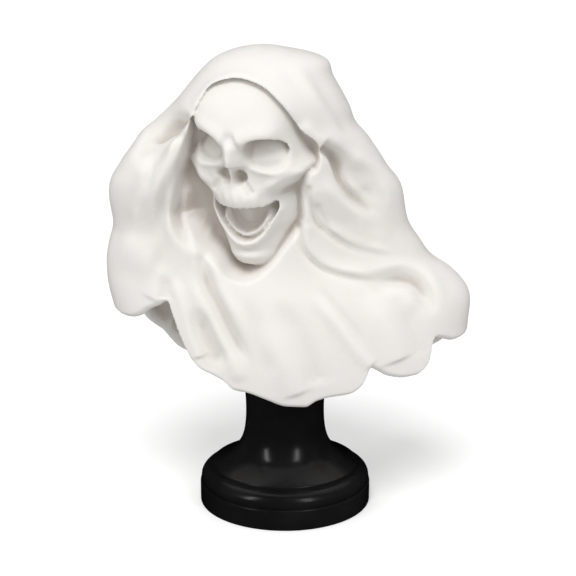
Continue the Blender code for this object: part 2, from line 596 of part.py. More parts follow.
def socle_profile():
    """Outline of the turned foot from its top down to its underside, radius and height."""
    edge = PLINTH_EDGE
    torus_radius = PLINTH_RADIUS - edge
    torus_foot = PLINTH_HEIGHT + edge
    collar_foot = torus_foot + TORUS_HEIGHT
    neck_foot = collar_foot + COLLAR_HEIGHT
    points = [(0.0, 0.0), (PLINTH_RADIUS - edge, 0.0), (PLINTH_RADIUS, edge), (PLINTH_RADIUS, PLINTH_HEIGHT - edge)]
    points += [(PLINTH_RADIUS - edge, PLINTH_HEIGHT), (PLINTH_RADIUS - GROOVE_DEPTH, PLINTH_HEIGHT + 0.3 * edge)]
    drop = torus_radius - COLLAR_RADIUS
    for k in range(7):
        turn = math.radians(-20 + 110 * k / 6)
        height = torus_foot + TORUS_HEIGHT * (0.28 + 0.72 * math.sin(turn)) if turn > 0 else (
            torus_foot + TORUS_HEIGHT * 0.28 * (1 + turn / math.radians(20)))
        points.append((COLLAR_RADIUS + 0.6 * edge + (drop - 0.6 * edge) * math.cos(turn), height))
    points += [(COLLAR_RADIUS, collar_foot + 0.2 * edge), (COLLAR_RADIUS, neck_foot - edge)]
    points += [(COLLAR_RADIUS - edge, neck_foot)]
    for k in range(1, 12):
        t = k / 11
        height = neck_foot + (SOCLE_HEIGHT - neck_foot) * t ** 1.35
        sweep = (COLLAR_RADIUS - edge - NECK_RADIUS) * math.exp(-6.6 * (height - neck_foot) / (SOCLE_HEIGHT - neck_foot))
        flare = (NECK_TOP_RADIUS - NECK_RADIUS) * t ** 6
        points.append((NECK_RADIUS + sweep + flare, height))
    points.append((0.0, SOCLE_HEIGHT))
    return points[::-1]


def build_socle(home):
    """Turned foot: its outline swept round the axis."""
    points = socle_profile()
    mesh = bpy.data.meshes.new("turned_socle")
    mesh.from_pydata([(r, 0.0, z) for r, z in points], [(k, k + 1) for k in range(len(points) - 1)], [])
    socle = add_object("turned_socle", mesh, home, material("black_satin", (0.012, 0.012, 0.013), 0.38))
    turn = socle.modifiers.new("Turn", "SCREW")
    turn.axis = "Z"
    turn.steps = SOCLE_STEPS
    turn.render_steps = SOCLE_STEPS
    turn.use_merge_vertices = True
    turn.merge_threshold = 0.00001
    turn.use_smooth_shade = True
    socle.modifiers.new("Facets", "TRIANGULATE")
    return socle


def main():
    """Clears the scene and builds both pieces."""
    for old in list(bpy.data.objects):
        bpy.data.objects.remove(old)
    home = collection("hooded_bust_on_socle")
    cutters = collection("cutters")
    build_socle(home)
    build_bust(home, cutters)


main()
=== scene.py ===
"""Visual model of a hooded bust on a turned socle, laid out as an add-on and run as a script.

The bust is one casting: a skull looking out of a hood whose cloth runs down to a ragged hem.
It is drawn in units of a 230th of its own height above its seat, which the frame gives.
"""
import math

import bpy
import numpy as np
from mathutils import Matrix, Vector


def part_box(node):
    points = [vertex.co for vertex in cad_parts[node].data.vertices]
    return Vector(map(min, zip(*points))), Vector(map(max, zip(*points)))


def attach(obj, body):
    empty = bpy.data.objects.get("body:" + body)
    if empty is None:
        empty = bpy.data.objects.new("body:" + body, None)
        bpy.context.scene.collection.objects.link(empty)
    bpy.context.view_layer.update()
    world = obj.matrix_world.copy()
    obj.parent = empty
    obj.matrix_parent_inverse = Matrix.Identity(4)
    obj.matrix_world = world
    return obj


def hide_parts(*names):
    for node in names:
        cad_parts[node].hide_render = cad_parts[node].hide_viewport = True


bl_info = {
    "name": "Hooded bust",
    "version": (1, 0, 0),
    "blender": (4, 5, 0),
    "location": "3D View > Sidebar > Bust",
    "description": "Builds a cast hooded bust on a turned socle, with its materials and studio",
    "category": "Add Mesh",
}

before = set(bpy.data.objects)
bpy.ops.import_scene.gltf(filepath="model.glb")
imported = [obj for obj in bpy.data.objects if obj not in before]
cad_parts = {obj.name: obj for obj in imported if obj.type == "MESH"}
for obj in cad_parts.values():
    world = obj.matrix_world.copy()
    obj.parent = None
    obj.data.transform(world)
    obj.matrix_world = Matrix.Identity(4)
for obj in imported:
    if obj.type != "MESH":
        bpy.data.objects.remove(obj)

SOCLE_LOW, SOCLE_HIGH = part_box("turned_socle")
BUST_LOW, BUST_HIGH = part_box("hooded_bust")
SEAT_HEIGHT = SOCLE_HIGH[2]
DRAWN_HEIGHT = 230.0
UNIT = (BUST_HIGH[2] - SEAT_HEIGHT) / DRAWN_HEIGHT

# The photograph: its side in pixels and where the camera stood, as the socle's ellipses give it
IMAGE_SIDE = 576
CAMERA_PLACE = (0.0, -0.850, 0.366)
CAMERA_PITCH = -14.065
CAMERA_LENS = 79.77
CAMERA_SENSOR = 36.0
AXIS_OFFSET_PIXELS = 3.0

# Cloth without folds, from the crown down: height, left, right, front, back
RINGS = (
    (230, -14, -14, 4, 4),
    (228, -30, 1, -12, 22),
    (223.5, -43, 22, -25, 36),
    (219, -50, 30, -33, 44),
    (212, -57, 30.5, -42, 52),
    (204, -64, 35.5, -47, 57),
    (196, -70, 39.8, -50, 61),
    (188, -78.3, 44.3, -50.5, 62.5),
    (180, -86.5, 45.8, -50.5, 63),
    (172, -97.5, 54, -50, 63),
    (164, -101.5, 59.5, -48.5, 62),
    (156, -108.5, 65, -47, 60.5),
    (148, -113, 69.3, -45, 58),
    (140, -118.3, 77.5, -43, 56),
    (127, -119.5, 80.5, -39, 52.5),
    (112, -116.6, 83, -37, 51),
    (97, -120.5, 93.5, -37, 52.5),
    (88, -122.2, 98, -38.3, 54.7),
    (80, -122.5, 113, -40.3, 56.6),
    (73, -122.3, 119.5, -43, 58),
    (64, -121, 127, -46, 60),
    (54, -118.5, 128.2, -48.5, 60.5),
    (44, -115, 126.5, -50.5, 60.5),
    (31, -112.5, 126, -52, 58),
    (12, -112, 125.3, -52, 53),
    (-8, -112, 124, -50, 47),
)
RING_SQUARENESS = 2.15

# Ragged hem: degrees round from the front towards the bust's left hand, height
HEM = (
    (-180, 1), (-160, 1), (-147, 6), (-137, 12), (-128, 26), (-120, 35), (-112, 44), (-101, 49.5),
    (-90, 51.5), (-80, 52), (-72, 51.5), (-64, 52), (-57, 54.5), (-50, 60), (-45, 63), (-41, 66),
    (-39.2, 66), (-38.3, 55), (-37.3, 43), (-35.5, 34), (-33.5, 27), (-31, 22.5), (-26.5, 19),
    (-22, 14.5), (-18.8, 9), (-14.5, 7.5), (-8, 2.5), (-2, -2), (3, -2.5), (6.5, 2), (10.5, 4.5),
    (17, 6.5), (20.5, 11), (22.2, 18), (24, 24.5), (26.5, 22.5), (31, 18), (37, 16), (42.5, 16.5),
    (46, 19.5), (48.4, 25), (49.6, 36), (52, 40.5), (57, 39), (66, 36), (76, 36), (88, 37),
    (100, 33), (114, 24), (128, 14), (145, 7), (162, 3.5), (180, 1),
)

# Folds on the front: what it is, width, height, share faded in, share faded out, raised lip,
# then the points (across, height) it runs through
FOLDS = (
    ("long valley", 4.4, -4, 0.1, 0.3, 0,
     ((-54, 101), (-54, 91), (-51, 77), (-44, 63), (-37, 49), (-28, 34), (-21, 20))),
    ("left valley", 7, -3.4, 0.35, 0.25, 0, ((-59, 64), (-53, 48), (-47, 34), (-40, 22))),
    ("ridge between", 5, 1.6, 0.3, 0.1, 0,
     ((-69, 91), (-60, 76), (-51, 59), (-42, 42), (-33, 25), (-29, 12))),
    ("left edge ridge", 5, 1.8, 0.25, 0.02, 0, ((-75, 84), (-68, 66), (-62, 45), (-56, 29))),
    ("ridge under jaw", 5, 2.2, 0.2, 0.4, 0,
     ((-51, 99), (-46, 88), (-39, 71), (-29, 55), (-20, 39))),
    ("faint valley", 6, -1, 0.35, 0.2, 0, ((-27, 73), (-21, 55), (-15, 37), (-8, 17))),
    ("middle ridge", 8, 1.8, 0.4, 0.05, 0, ((-19, 56), (-9, 40), (1, 22), (8, 4))),
    ("middle valley", 6, -1.5, 0.4, 0.1, -0.6, ((-9, 70), (2, 56), (11, 42), (17, 26), (21, 11))),
    ("notch ridge", 4.2, 1.5, 0.35, 0.02, 0, ((14, 74), (25, 63), (37, 49), (47, 35), (57, 24))),
    ("notch valley", 2.6, -0.7, 0.3, 0.25, 0, ((19, 78), (32, 65), (44, 51), (54, 37))),
    ("lobe ridge", 9, 2, 0.4, 0.03, 0, ((50, 72), (60, 59), (69, 43), (75, 26))),
    ("lobe valley", 6, -1, 0.4, 0.15, 0, ((73, 63), (81, 50), (87, 36), (89, 27))),
    ("wing step", 2.3, -2.8, 0.05, 0.3, 1.5,
     ((10, 118), (10, 110), (12, 101), (17, 94), (24, 88), (33, 84), (44, 81), (55, 79), (65, 79))),
    ("wing shade", 5.6, -5.6, 0.5, 0.3, 2.4,
     ((44, 81), (60, 79), (76, 79), (86, 76), (92, 70), (97, 61), (99, 52))),
    ("wing ridge", 4.6, 1.6, 0.25, 0.25, 0,
     ((21, 94), (35, 87), (54, 85), (74, 86), (90, 81), (100, 71), (106, 57))),
    ("wing lower", 6, 1.2, 0.3, 0.3, 0, ((61, 71), (74, 71), (82, 66), (88, 57))),
    ("second valley", 2.3, -2.4, 0.05, 0.6, 0.6,
     ((16, 144), (15, 135), (18, 126), (22, 117), (29, 111), (38, 104), (47, 99), (58, 96),
      (70, 93))),
    ("second ridge", 3, 1.6, 0.25, 0.35, 0,
     ((22, 122), (29, 114), (38, 108), (50, 103), (64, 98), (81, 94))),
    ("short valley", 1.8, -1.3, 0.2, 0.3, 0, ((20, 132), (23, 124), (27, 117), (32, 112))),
    ("faint right valley", 2.6, -0.8, 0.3, 0.3, 0, ((34, 113), (42, 107), (53, 102), (63, 100))),
    ("bright shelf", 7, 1, 0.3, 0.3, 0, ((39, 119), (55, 110), (73, 103))),
    ("neck ridge", 5, 0.8, 0.2, 0.3, 0,
     ((18, 149), (20, 139), (27, 130), (38, 124), (51, 119), (66, 115))),
    ("neck edge", 4.2, 1.4, 0.3, 0.3, 0, ((22, 149), (27, 141), (35, 133), (46, 126), (60, 119))),
    ("hood side valley", 3.7, -7.5, 0.05, 0.5, 0,
     ((23, 169), (32, 162), (36, 154), (38, 146), (43, 136), (50, 129), (57, 124), (68, 121))),
    ("hood side plane", 8.5, -6.5, 0.35, 0.3, 0,
     ((22, 171), (35, 162), (41, 152), (49, 144), (59, 133), (70, 127))),
    ("hood lip", 4.2, 1.8, 0.1, 0.25, 0,
     ((9, 185), (21, 174), (35, 167), (49, 158), (64, 148), (77, 138))),
    ("hood rim top", 3, 1.4, 0.08, 0.15, 0,
     ((-59, 188), (-55, 196), (-45, 207), (-30, 212), (-14, 207), (-1, 196), (11, 182))),
    ("hood streak a", 5, -1.2, 0.3, 0.3, 0, ((-9, 220), (6, 208), (19, 190), (31, 174))),
    ("hood streak b", 4, -1.3, 0.3, 0.3, 0, ((9, 221), (21, 208), (32, 190), (43, 171))),
    ("hood streak c", 4.5, 1.3, 0.3, 0.3, 0,
     ((2, 221), (14, 206), (26, 186), (41, 167), (56, 156))),
    ("shoulder edge", 3, 0, 0.4, 0.4, 2,
     ((-110, 150), (-101, 158), (-95, 166), (-85, 179), (-74, 186), (-59, 191))),
    ("shoulder line", 3, -3.8, 0.12, 0.5, 0,
     ((-59, 187), (-76, 183), (-87, 176), (-95, 163), (-100, 155))),
    ("shoulder plane", 9, -9, 0.3, 0.5, 0,
     ((-60, 186), (-73, 182), (-84, 176), (-91, 162), (-98, 150))),
    ("fan ridge", 4.4, 3, 0.35, 0.4, 0,
     ((-66, 183), (-73, 176), (-72, 162), (-76, 152), (-82, 140), (-86, 124), (-88, 109))),
    ("fan valley", 4.2, -3.2, 0.25, 0.35, 0,
     ((-73, 183), (-79, 169), (-86, 158), (-89, 146), (-92, 133))),
    ("fan inner valley", 4.2, -3, 0.1, 0.35, 0,
     ((-64, 179), (-68, 166), (-71, 155), (-75, 143), (-79, 130), (-81, 115), (-80, 102))),
    ("left plane ridge", 6, 1.8, 0.3, 0.3, 0,
     ((-83, 165), (-88, 152), (-94, 138), (-99, 123), (-102, 105))),
    ("left plane valley", 5, -1.2, 0.3, 0.3, 0, ((-91, 151), (-97, 138), (-103, 122), (-107, 107))),
    ("left bulge", 13, 2.6, 0.3, 0.3, 0, ((-112, 103), (-97, 95), (-82, 89))),
    ("left lobe ridge", 6, 1.4, 0.3, 0.1, 0, ((-79, 90), (-84, 78), (-89, 64))),
    ("left lobe valley", 4, -1.6, 0.5, 0.02, 0, ((-78, 82), (-79, 73), (-79, 66))),
    ("inner ridge a", 4.4, 2.6, 0.2, 0.4, 0,
     ((-67, 158), (-70, 147), (-73, 136), (-75, 124), (-73, 110), (-70, 97))),
    ("inner valley b", 3.8, -2.8, 0.1, 0.35, 0,
     ((-64, 154), (-68, 143), (-70, 131), (-70, 119), (-66, 108), (-61, 97), (-57, 87))),
    ("inner ridge b", 4.8, 2.8, 0.2, 0.35, 0,
     ((-58, 148), (-63, 137), (-65, 126), (-64, 115), (-61, 103), (-57, 91), (-51, 77))),
)

# Outline of the hollow round the head: across, height, width of its wall, share of its depth
POCKET = (
    (-30, 211, 3, 0.7), (-14, 206, 3, 0.48), (-1, 194, 3, 0.28), (10, 179, 3.2, 0.24),
    (20, 171, 3.6, 0.28), (23, 162, 5, 0.28), (23, 156, 6, 0.28), (21, 151, 8, 0.3),
    (17, 148, 10, 0.32), (16, 141, 11, 0.32), (15, 131, 10, 0.32), (13, 115, 8, 0.27),
    (1, 99, 8, 0.32), (-11, 85, 9, 0.5), (-24, 77, 11, 0.6), (-38, 80, 12, 0.62),
    (-47, 89, 14, 0.7), (-57, 94, 24, 0.8), (-66, 99, 30, 0.7), (-76, 107, 30, 0.6),
    (-82, 121, 26, 0.6),
    (-78, 138, 20, 0.65), (-74, 152, 15, 0.75), (-69, 164, 11, 0.75), (-65, 174, 7, 0.55),
    (-61, 183, 4, 0.45), (-58, 189, 3, 0.5), (-54, 197, 3, 0.55), (-46, 207, 3, 0.6),
)

# Bare skull in its own frame, from the crown down: height over the bridge of the nose, half width,
# front, back, squareness of the section
SKULL = (
    (51, 0, 10, 10, 2.0),
    (49.5, 14, -4, 24, 2.0),
    (45, 24, -17.5, 34, 2.0),
    (38, 31.5, -29, 43, 2.0),
    (28, 37.5, -39, 50, 2.1),
    (16, 39.5, -45.5, 54, 2.2),
    (5, 38.5, -48, 54, 2.3),
    (-6, 39.5, -47, 52, 2.3),
    (-15, 40, -45, 46, 2.2),
    (-24, 37, -44.5, 40, 2.0),
    (-33, 34, -45.5, 34, 1.8),
    (-42, 31.5, -46, 27, 1.7),
    (-52, 30, -43.5, 17, 1.65),
    (-62, 23.8, -40.5, 4, 1.65),
    (-71, 18.8, -38, -7, 1.75),
    (-79, 14.6, -36, -14, 1.9),
    (-84, 10, -32, -18.5, 2.0),
    (-86, 0, -25, -25, 2.0),
)
SKULL_TURN = -22.0
SKULL_NOD = 6.0
BRIDGE_OF_NOSE = (-33.3, -50.0, 170.6)

# The head is a little lopsided: how far an eye drops and the jaw swings, as shares of the way out
LOPSIDED = (0.10, 0.022)

# It also bulges to one side: which side (1 is the bust's left), height, half height, how far,
# and over how much of the way out
HEAD_BULGES = (
    (1, 14, 15, 2.6, 25), (1, -30, 14, 2.0, 25), (-1, 17, 13, -3.6, 24), (-1, -28, 11, -6.5, 24),
)
CROWN_SHIFT = 1.9

# Ridges of the face: what it is, whether it is on both sides, the middle that it is measured from,
# width, how far it stands out, share faded in, share faded out, then the points (across, height)
FACE_RIDGES = (
    ("brow", True, 0, 6.5, 4.2, 0.15, 0.3, ((3, 0.5), (9, 4), (16, 7.6), (23, 8.4), (30, 4))),
    ("rim under the socket", True, 0, 2.6, 1.8, 0.2, 0.2,
     ((8, -12), (13, -15), (20, -16.4), (27, -14), (32.5, -7))),
    ("cheekbone", True, 0, 5.0, 3.4, 0.3, 0.1, ((14, -23), (22, -26), (30, -24), (37, -17))),
    ("nose", False, -0.6, 5.2, 7.0, 0.45, 0.01, ((0, 6), (0, -4), (0, -14))),
    ("lower lip", True, 0, 2.3, 2.6, 0.01, 0.12,
     ((0, -68.6), (8, -66.4), (15, -60), (20.5, -50.5), (24.5, -41))),
)

# Mounds of the face, dents below zero: what it is, whether it is on both sides, its middle across
# and in height, half width, half height, how far it stands out, tilt in degrees
FACE_MOUNDS = (
    ("forehead", True, 13, 20, 15, 12, 1.2, 0),
    ("between the brows", False, 0, 9, 10, 11, 2.2, 0),
    ("frown", True, 2.8, 6, 0.9, 4.0, -0.7, 0),
    ("under the cheekbone", True, 30, -33, 6, 3.0, -2.2, 14),
    ("tip of the nose", False, -0.6, -11, 5, 7, 3.4, 0),
    ("between the nose's holes", False, -2.5, -20, 1.8, 6, 3.2, 0),
    ("upper jaw", True, 0, -35, 17, 9, 4.4, 0),
    ("chin", True, 0, -78, 12, 5, 2.4, 0),
    ("over the chin", True, 0, -73, 12, 2.2, -1.1, 0),
)

# Sides of the head, seen from the side: the arch of the cheek, then mounds, dents below zero
CHEEK_ARCH = ((-44, -22), (-32, -18), (-18, -12), (2, -8))
CHEEK_ARCH_WIDTH = 5.0
CHEEK_ARCH_HEIGHT = 4.5
SIDE_MOUNDS = (
    ("angle of the jaw", 4, -50, 12, 13, 2.5, 0),
    ("temple", -22, 12, 12, 13, -3.2, 0),
    ("hollow of the cheek", -24, -33, 13, 7, -4.5, 15),
)

# Sockets: middle, half sizes, tilt in degrees, power of the superellipse, depth, upward pull
SOCKET_MIDDLE = (19.2, -6.1)
SOCKET_HALF = (13.6, 11.8)
SOCKET_TILT = 6.0
SOCKET_POWER = 2.2
SOCKET_DEPTH = 18.0
SOCKET_PULL = 0.32

# Holes of the nose: the line between them, the middle of each from that line, half sizes, depth,
# and the groove that runs down and out from each
NOSE_LINE = -2.5
NOSE_HOLE_MIDDLE = (5.0, -21.6)
NOSE_HOLE_HALF = (5.2, 6.4)
NOSE_HOLE_DEPTH = 7.0
NOSE_GROOVE = ((6.5, -24), (11.0, -31))
NOSE_GROOVE_WIDTH = 2.0
NOSE_GROOVE_DEPTH = 3.2

# Mouth: half width, heights of its edges in the middle, depth, the teeth's pitch and relief
MOUTH_HALF = 23.0
MOUTH_TOP = -41.5
MOUTH_BOTTOM = -66.8
MOUTH_DEPTH = 14.0
LOWER_TEETH = ((0, -62.8), (7, -60.6), (13, -54.6), (18, -45))
LOWER_TEETH_WIDTH = 2.6
LOWER_TEETH_HEIGHT = 10.8
TOOTH_PITCH = 6.2
TOOTH_EDGE_PITCH = 4.1
TOOTH_RELIEF = 0.45

# Sizes of the cloth in drawn units, and steps to a stretch of a path
SEAT_RADIUS = 31.0
SEAT_HEIGHT_OVER = 1.0
SEAT_DEPTH = 2.5
HEM_THICKNESS = 7.0
POCKET_DEPTH = 40.0
CRISP_WALL = 3.0
RING_BLUR = 5
PATH_STEPS = 5
OUTSIDE_SHARE = 0.78

# Folds down the back and sides: depth at the hem, how much faster than the angle each kind turns,
# and the degrees from the back where they end, with the way over which they fade
BACK_FOLD_DEPTH = 4.6
MAIN_BACK_FOLDS = 5.6
FINE_BACK_FOLDS = 12.3
BROAD_BACK_FOLDS = 2.7
BACK_FOLDS_END = 99.0
BACK_FOLDS_FADE = 26.0

CLOTH_GRID, SKULL_GRID = (900, 760), (640, 640)
QUICK_CLOTH_GRID, QUICK_SKULL_GRID = (460, 420), (380, 360)
QUICK_VOXEL = 1.7

# Hollowness, which sets where shade and light are painted on the marble: rounds of averaging, reach
# in metres and share, for small and for wide hollows
SMALL_HOLLOWS = (8, 0.0006, 0.35)
WIDE_HOLLOWS = (300, 0.0034, 0.65)

# Outline of the foot: points to a stretch, and the curves of its neck and torus
NECK_STEPS = 48
NECK_SPACING = 1.35
NECK_SWEEP = 6.6
NECK_FLARE = 6
COLLAR_EDGE_STEPS = 5
PLINTH_EDGE_STEPS = 6
TORUS_STEPS = 21
TORUS_SWEEP = 110.0
TORUS_BELLY = 0.28
TORUS_TUCK = 20.0
TORUS_INSET = 0.6
SOCLE_COLUMNS = 256
SHARP_EDGE = 50.0

# Studio: floor and backdrop in metres, lamps in degrees and metres
FLOOR_HALF = 30.0
BACKDROP_RADIUS = 28.0
KEY_TILT = 35.0
KEY_TURN = -8.0
KEY_WIDTH = 28.0
LEFT_LAMP, RIGHT_LAMP = -50, 32
LAMP_RISE = 26
LAMP_DISTANCE = 1.3
LAMP_SIDES = (0.16, 0.8)
CAMERA_CLIP = 0.01


def smooth(t):
    """Smooth step: 0 below 0, 1 above 1, 3t^2 - 2t^3 between."""
    t = np.clip(t, 0.0, 1.0)
    return t * t * (3.0 - 2.0 * t)


def hermite(xs, ys, x):
    """Piecewise cubic through the points with slopes limited so that it never overshoots."""
    xs = np.asarray(xs, float)
    ys = np.asarray(ys, float)
    gap = np.diff(xs)
    slope = np.diff(ys) / gap
    tangent = np.zeros_like(ys)
    same = slope[:-1] * slope[1:] > 0
    tangent[1:-1][same] = 2 * slope[:-1][same] * slope[1:][same] / (slope[:-1] + slope[1:])[same]
    tangent[0] = slope[0]
    tangent[-1] = slope[-1]
    k = np.clip(np.searchsorted(xs, x) - 1, 0, len(xs) - 2)
    t = np.clip((x - xs[k]) / gap[k], 0.0, 1.0)
    a = (1 + 2 * t) * (1 - t) ** 2 * ys[k] + t * (1 - t) ** 2 * gap[k] * tangent[k]
    return a + t * t * (3 - 2 * t) * ys[k + 1] + t * t * (t - 1) * gap[k] * tangent[k + 1]


def catmull_rom(rows, f):
    """Catmull-Rom cubic between the middle two of four rows, at the share f of the way."""
    cubic = 2 * rows[1] + (rows[2] - rows[0]) * f
    cubic = cubic + (2 * rows[0] - 5 * rows[1] + 4 * rows[2] - rows[3]) * f * f
    cubic = cubic + (3 * rows[1] - rows[0] - 3 * rows[2] + rows[3]) * f ** 3
    return 0.5 * cubic


def spline(points, s):
    """Catmull-Rom curve through points, an array (count, ...), at the positions s."""
    last = len(points) - 1
    k = np.clip(np.floor(s).astype(int), 0, last - 1)
    f = np.clip(s - k, 0.0, 1.0)
    rows = [points[np.clip(k + j, 0, last)] for j in (-1, 0, 1, 2)]
    return catmull_rom(rows, f.reshape(f.shape + (1,) * (rows[0].ndim - f.ndim)))


def to_path(x, z, path):
    """Distance to a polyline, the share along it, and the side, which is positive on its left."""
    path = np.asarray(path, float)
    lengths = np.hypot(*np.diff(path, axis=0).T)
    start = np.concatenate([[0.0], np.cumsum(lengths)])
    best = np.full(x.shape, 1e9)
    along = np.zeros(x.shape)
    side = np.zeros(x.shape)
    for k, length in enumerate(lengths):
        (ax, az), (bx, bz) = path[k], path[k + 1]
        dx, dz = (bx - ax) / length, (bz - az) / length
        t = np.clip((x - ax) * dx + (z - az) * dz, 0.0, length)
        gx, gz = x - ax - t * dx, z - az - t * dz
        distance = np.hypot(gx, gz)
        near = distance < best
        best = np.where(near, distance, best)
        along = np.where(near, (start[k] + t) / start[-1], along)
        side = np.where(near, np.sign(dx * gz - dz * gx), side)
    return best, along, side


def stroke(x, z, path, width, height, fade_in, fade_out, lip=0.0):
    """Ridge or valley along a path: height * exp(-(d / width)^2), faded at both ends.

    A lip raises the ground on the left of the path and falls away over three widths.
    """
    path = np.asarray(path, float)
    count = len(path) - 1
    path = spline(path, np.linspace(0, count, count * PATH_STEPS + 1))
    d, along, side = to_path(x, z, path)
    ends = smooth(along / max(fade_in, 1e-3)) * smooth((1 - along) / max(fade_out, 1e-3))
    out = height * np.exp(-(d / width) ** 2)
    if lip:
        out = out + lip * 0.5 * (1 + np.tanh(side * d / width)) * np.exp(-(d / (3 * width)) ** 2)
    return out * ends


def ring_curves():
    """Cloth sections against the distance run down it: height, centres and half sizes, blurred."""
    h, left, right, front, back = np.array(RINGS, float).T
    rows = [h, (left + right) / 2, (right - left) / 2, (front + back) / 2, (back - front) / 2]
    rows = np.stack(rows, 1)
    rows[0, [1, 3]] = rows[1, [1, 3]]
    run = np.linalg.norm(np.diff(rows[:, [0, 2, 4]], axis=0), axis=1)
    run = np.concatenate([[0.0], np.cumsum(run)])
    at = np.concatenate([[-run[1]], run])
    rows = np.vstack([rows[1] * (1, 1, -1, 1, -1), rows])
    fine = np.arange(at[0], at[-1] + 1.0)
    reach = 3 * RING_BLUR
    weight = np.exp(-0.5 * (np.arange(-reach, reach + 1) / RING_BLUR) ** 2)
    weight = weight / weight.sum()
    rows = [np.pad(hermite(at, rows[:, k], fine), reach, mode="edge") for k in range(5)]
    return fine, np.stack([np.convolve(row, weight, mode="valid") for row in rows], 1)


def bare_cloth(theta, run, curves):
    """Cloth with no folds: superellipse rings whose size, centre and height follow the sections."""
    at, rows = curves
    h, cx, wx, cy, wy = (hermite(at, rows[:, k], run) for k in range(5))
    power = 2.0 / RING_SQUARENESS
    s, c = np.sin(theta), np.cos(theta)
    x = cx + wx * np.sign(s) * np.abs(s) ** power
    y = cy - wy * np.sign(c) * np.abs(c) ** power
    return np.stack([x, y, h], -1)


def cloth_normal(theta, run, curves):
    """Outward normal of the bare cloth, from small steps across and down it."""
    turn, step = 1e-3, 0.2
    across = bare_cloth(theta + turn, run, curves) - bare_cloth(theta - turn, run, curves)
    above = bare_cloth(theta, np.maximum(run - step, 1e-3), curves)
    down = bare_cloth(theta, run + step, curves) - above
    normal = np.cross(down, across)
    length = np.linalg.norm(normal, axis=-1, keepdims=True)
    up = np.array([0.0, 0.0, 1.0])
    return np.where(length > 1e-9, normal / np.maximum(length, 1e-9), up)


def hem_height(theta):
    """Height of the ragged hem at each angle."""
    rows = np.array(HEM, float)
    before = rows[-3:-1] - (360, 0)
    after = rows[1:3] + (360, 0)
    rows = np.vstack([before, rows, after])
    return hermite(rows[:, 0], rows[:, 1], (np.degrees(theta) + 180) % 360 - 180)


def pocket(x, z):
    """Signed distance inside the pocket, width of its wall, way in from the rim, depth share."""
    rim = np.array(POCKET, float)
    closed = np.vstack([rim[-1:], rim, rim[:2]])
    count = len(rim)
    rim = spline(closed, 1 + np.arange(count * PATH_STEPS + 1) / PATH_STEPS)
    best = np.full(x.shape, 1e9)
    width, way_x, way_z, share, total = (np.zeros(x.shape) for _ in range(5))
    inside = np.zeros(x.shape, bool)
    for (ax, az, wa, da), (bx, bz, wb, _) in zip(rim[:-1], rim[1:]):
        sx, sz = bx - ax, bz - az
        t = np.clip(((x - ax) * sx + (z - az) * sz) / (sx * sx + sz * sz), 0.0, 1.0)
        gx, gz = x - ax - t * sx, z - az - t * sz
        distance = np.hypot(gx, gz)
        near = distance < best
        best = np.where(near, distance, best)
        width = np.where(near, wa + (wb - wa) * t, width)
        way_x = np.where(near, gx, way_x)
        way_z = np.where(near, gz, way_z)
        weight = (distance ** 2 + 9.0) ** -1.5
        share += weight * da
        total += weight
        inside ^= ((az > z) != (bz > z)) & (x < sx * (z - az) / (bz - az + 1e-12) + ax)
    sign = np.where(inside, 1.0, -1.0)
    length = np.maximum(np.hypot(way_x, way_z), 1e-6)
    return best * sign, width, way_x / length * sign, way_z / length * sign, share / total


def back_folds(theta, share):
    """Long folds down the back and sides: |cos| of the angle to a power, so that round ridges
    meet in sharper valleys.

    They gather towards the crown, drift sideways on the way down and deepen towards the hem.
    """
    angle = np.degrees(theta) % 360 - 180
    drift = 46 * share * np.sin(np.radians(angle * 1.9 + 20))
    main = 1.9 * np.abs(np.cos(np.radians(angle * MAIN_BACK_FOLDS + drift + 25))) ** 0.75 - 1.15
    broad = np.sin(np.radians(angle * BROAD_BACK_FOLDS + 50 + 30 * share))
    turn = np.radians(angle * FINE_BACK_FOLDS - 80 * share + 70)
    fine = 1.8 * np.abs(np.cos(turn)) ** 0.85 - 1.1
    deep = BACK_FOLD_DEPTH * smooth((share - 0.12) / 0.55)
    folds = main + 0.55 * broad + 0.3 * fine * smooth((share - 0.35) / 0.35)
    return deep * folds * smooth((BACK_FOLDS_END - np.abs(angle)) / BACK_FOLDS_FADE)


def outer_cloth(theta, share):
    """Outside of the cloth from the crown (share 0) to the hem (share 1), folded and hollowed."""
    curves = ring_curves()
    fine = np.linspace(0, curves[0][-1], 2000)
    heights = hermite(curves[0], curves[1][:, 0], fine)
    run = np.interp(-hem_height(theta), -heights, fine) * share
    p = bare_cloth(theta, run, curves)
    normal = cloth_normal(theta, run, curves)
    x, z = p[:, 0].copy(), p[:, 2].copy()
    relief = np.zeros(len(x))
    for _, width, height, fade_in, fade_out, lip, path in FOLDS:
        relief += stroke(x, z, path, width, height, fade_in, fade_out, lip)
    relief *= smooth((0.05 - normal[:, 1]) / 0.45)
    p += normal * (relief + back_folds(theta, share))[:, None]
    inside, width, way_x, way_z, depth = pocket(p[:, 0], p[:, 2])
    sunk = smooth(inside / width) * smooth((0.25 - normal[:, 1]) / 0.3)
    lean = np.clip(2 * CRISP_WALL - width, 0, 4) * np.sin(np.pi * sunk) * 0.9
    p[:, 0] -= way_x * lean
    p[:, 1] += POCKET_DEPTH * sunk * depth
    p[:, 2] -= way_z * lean
    return p


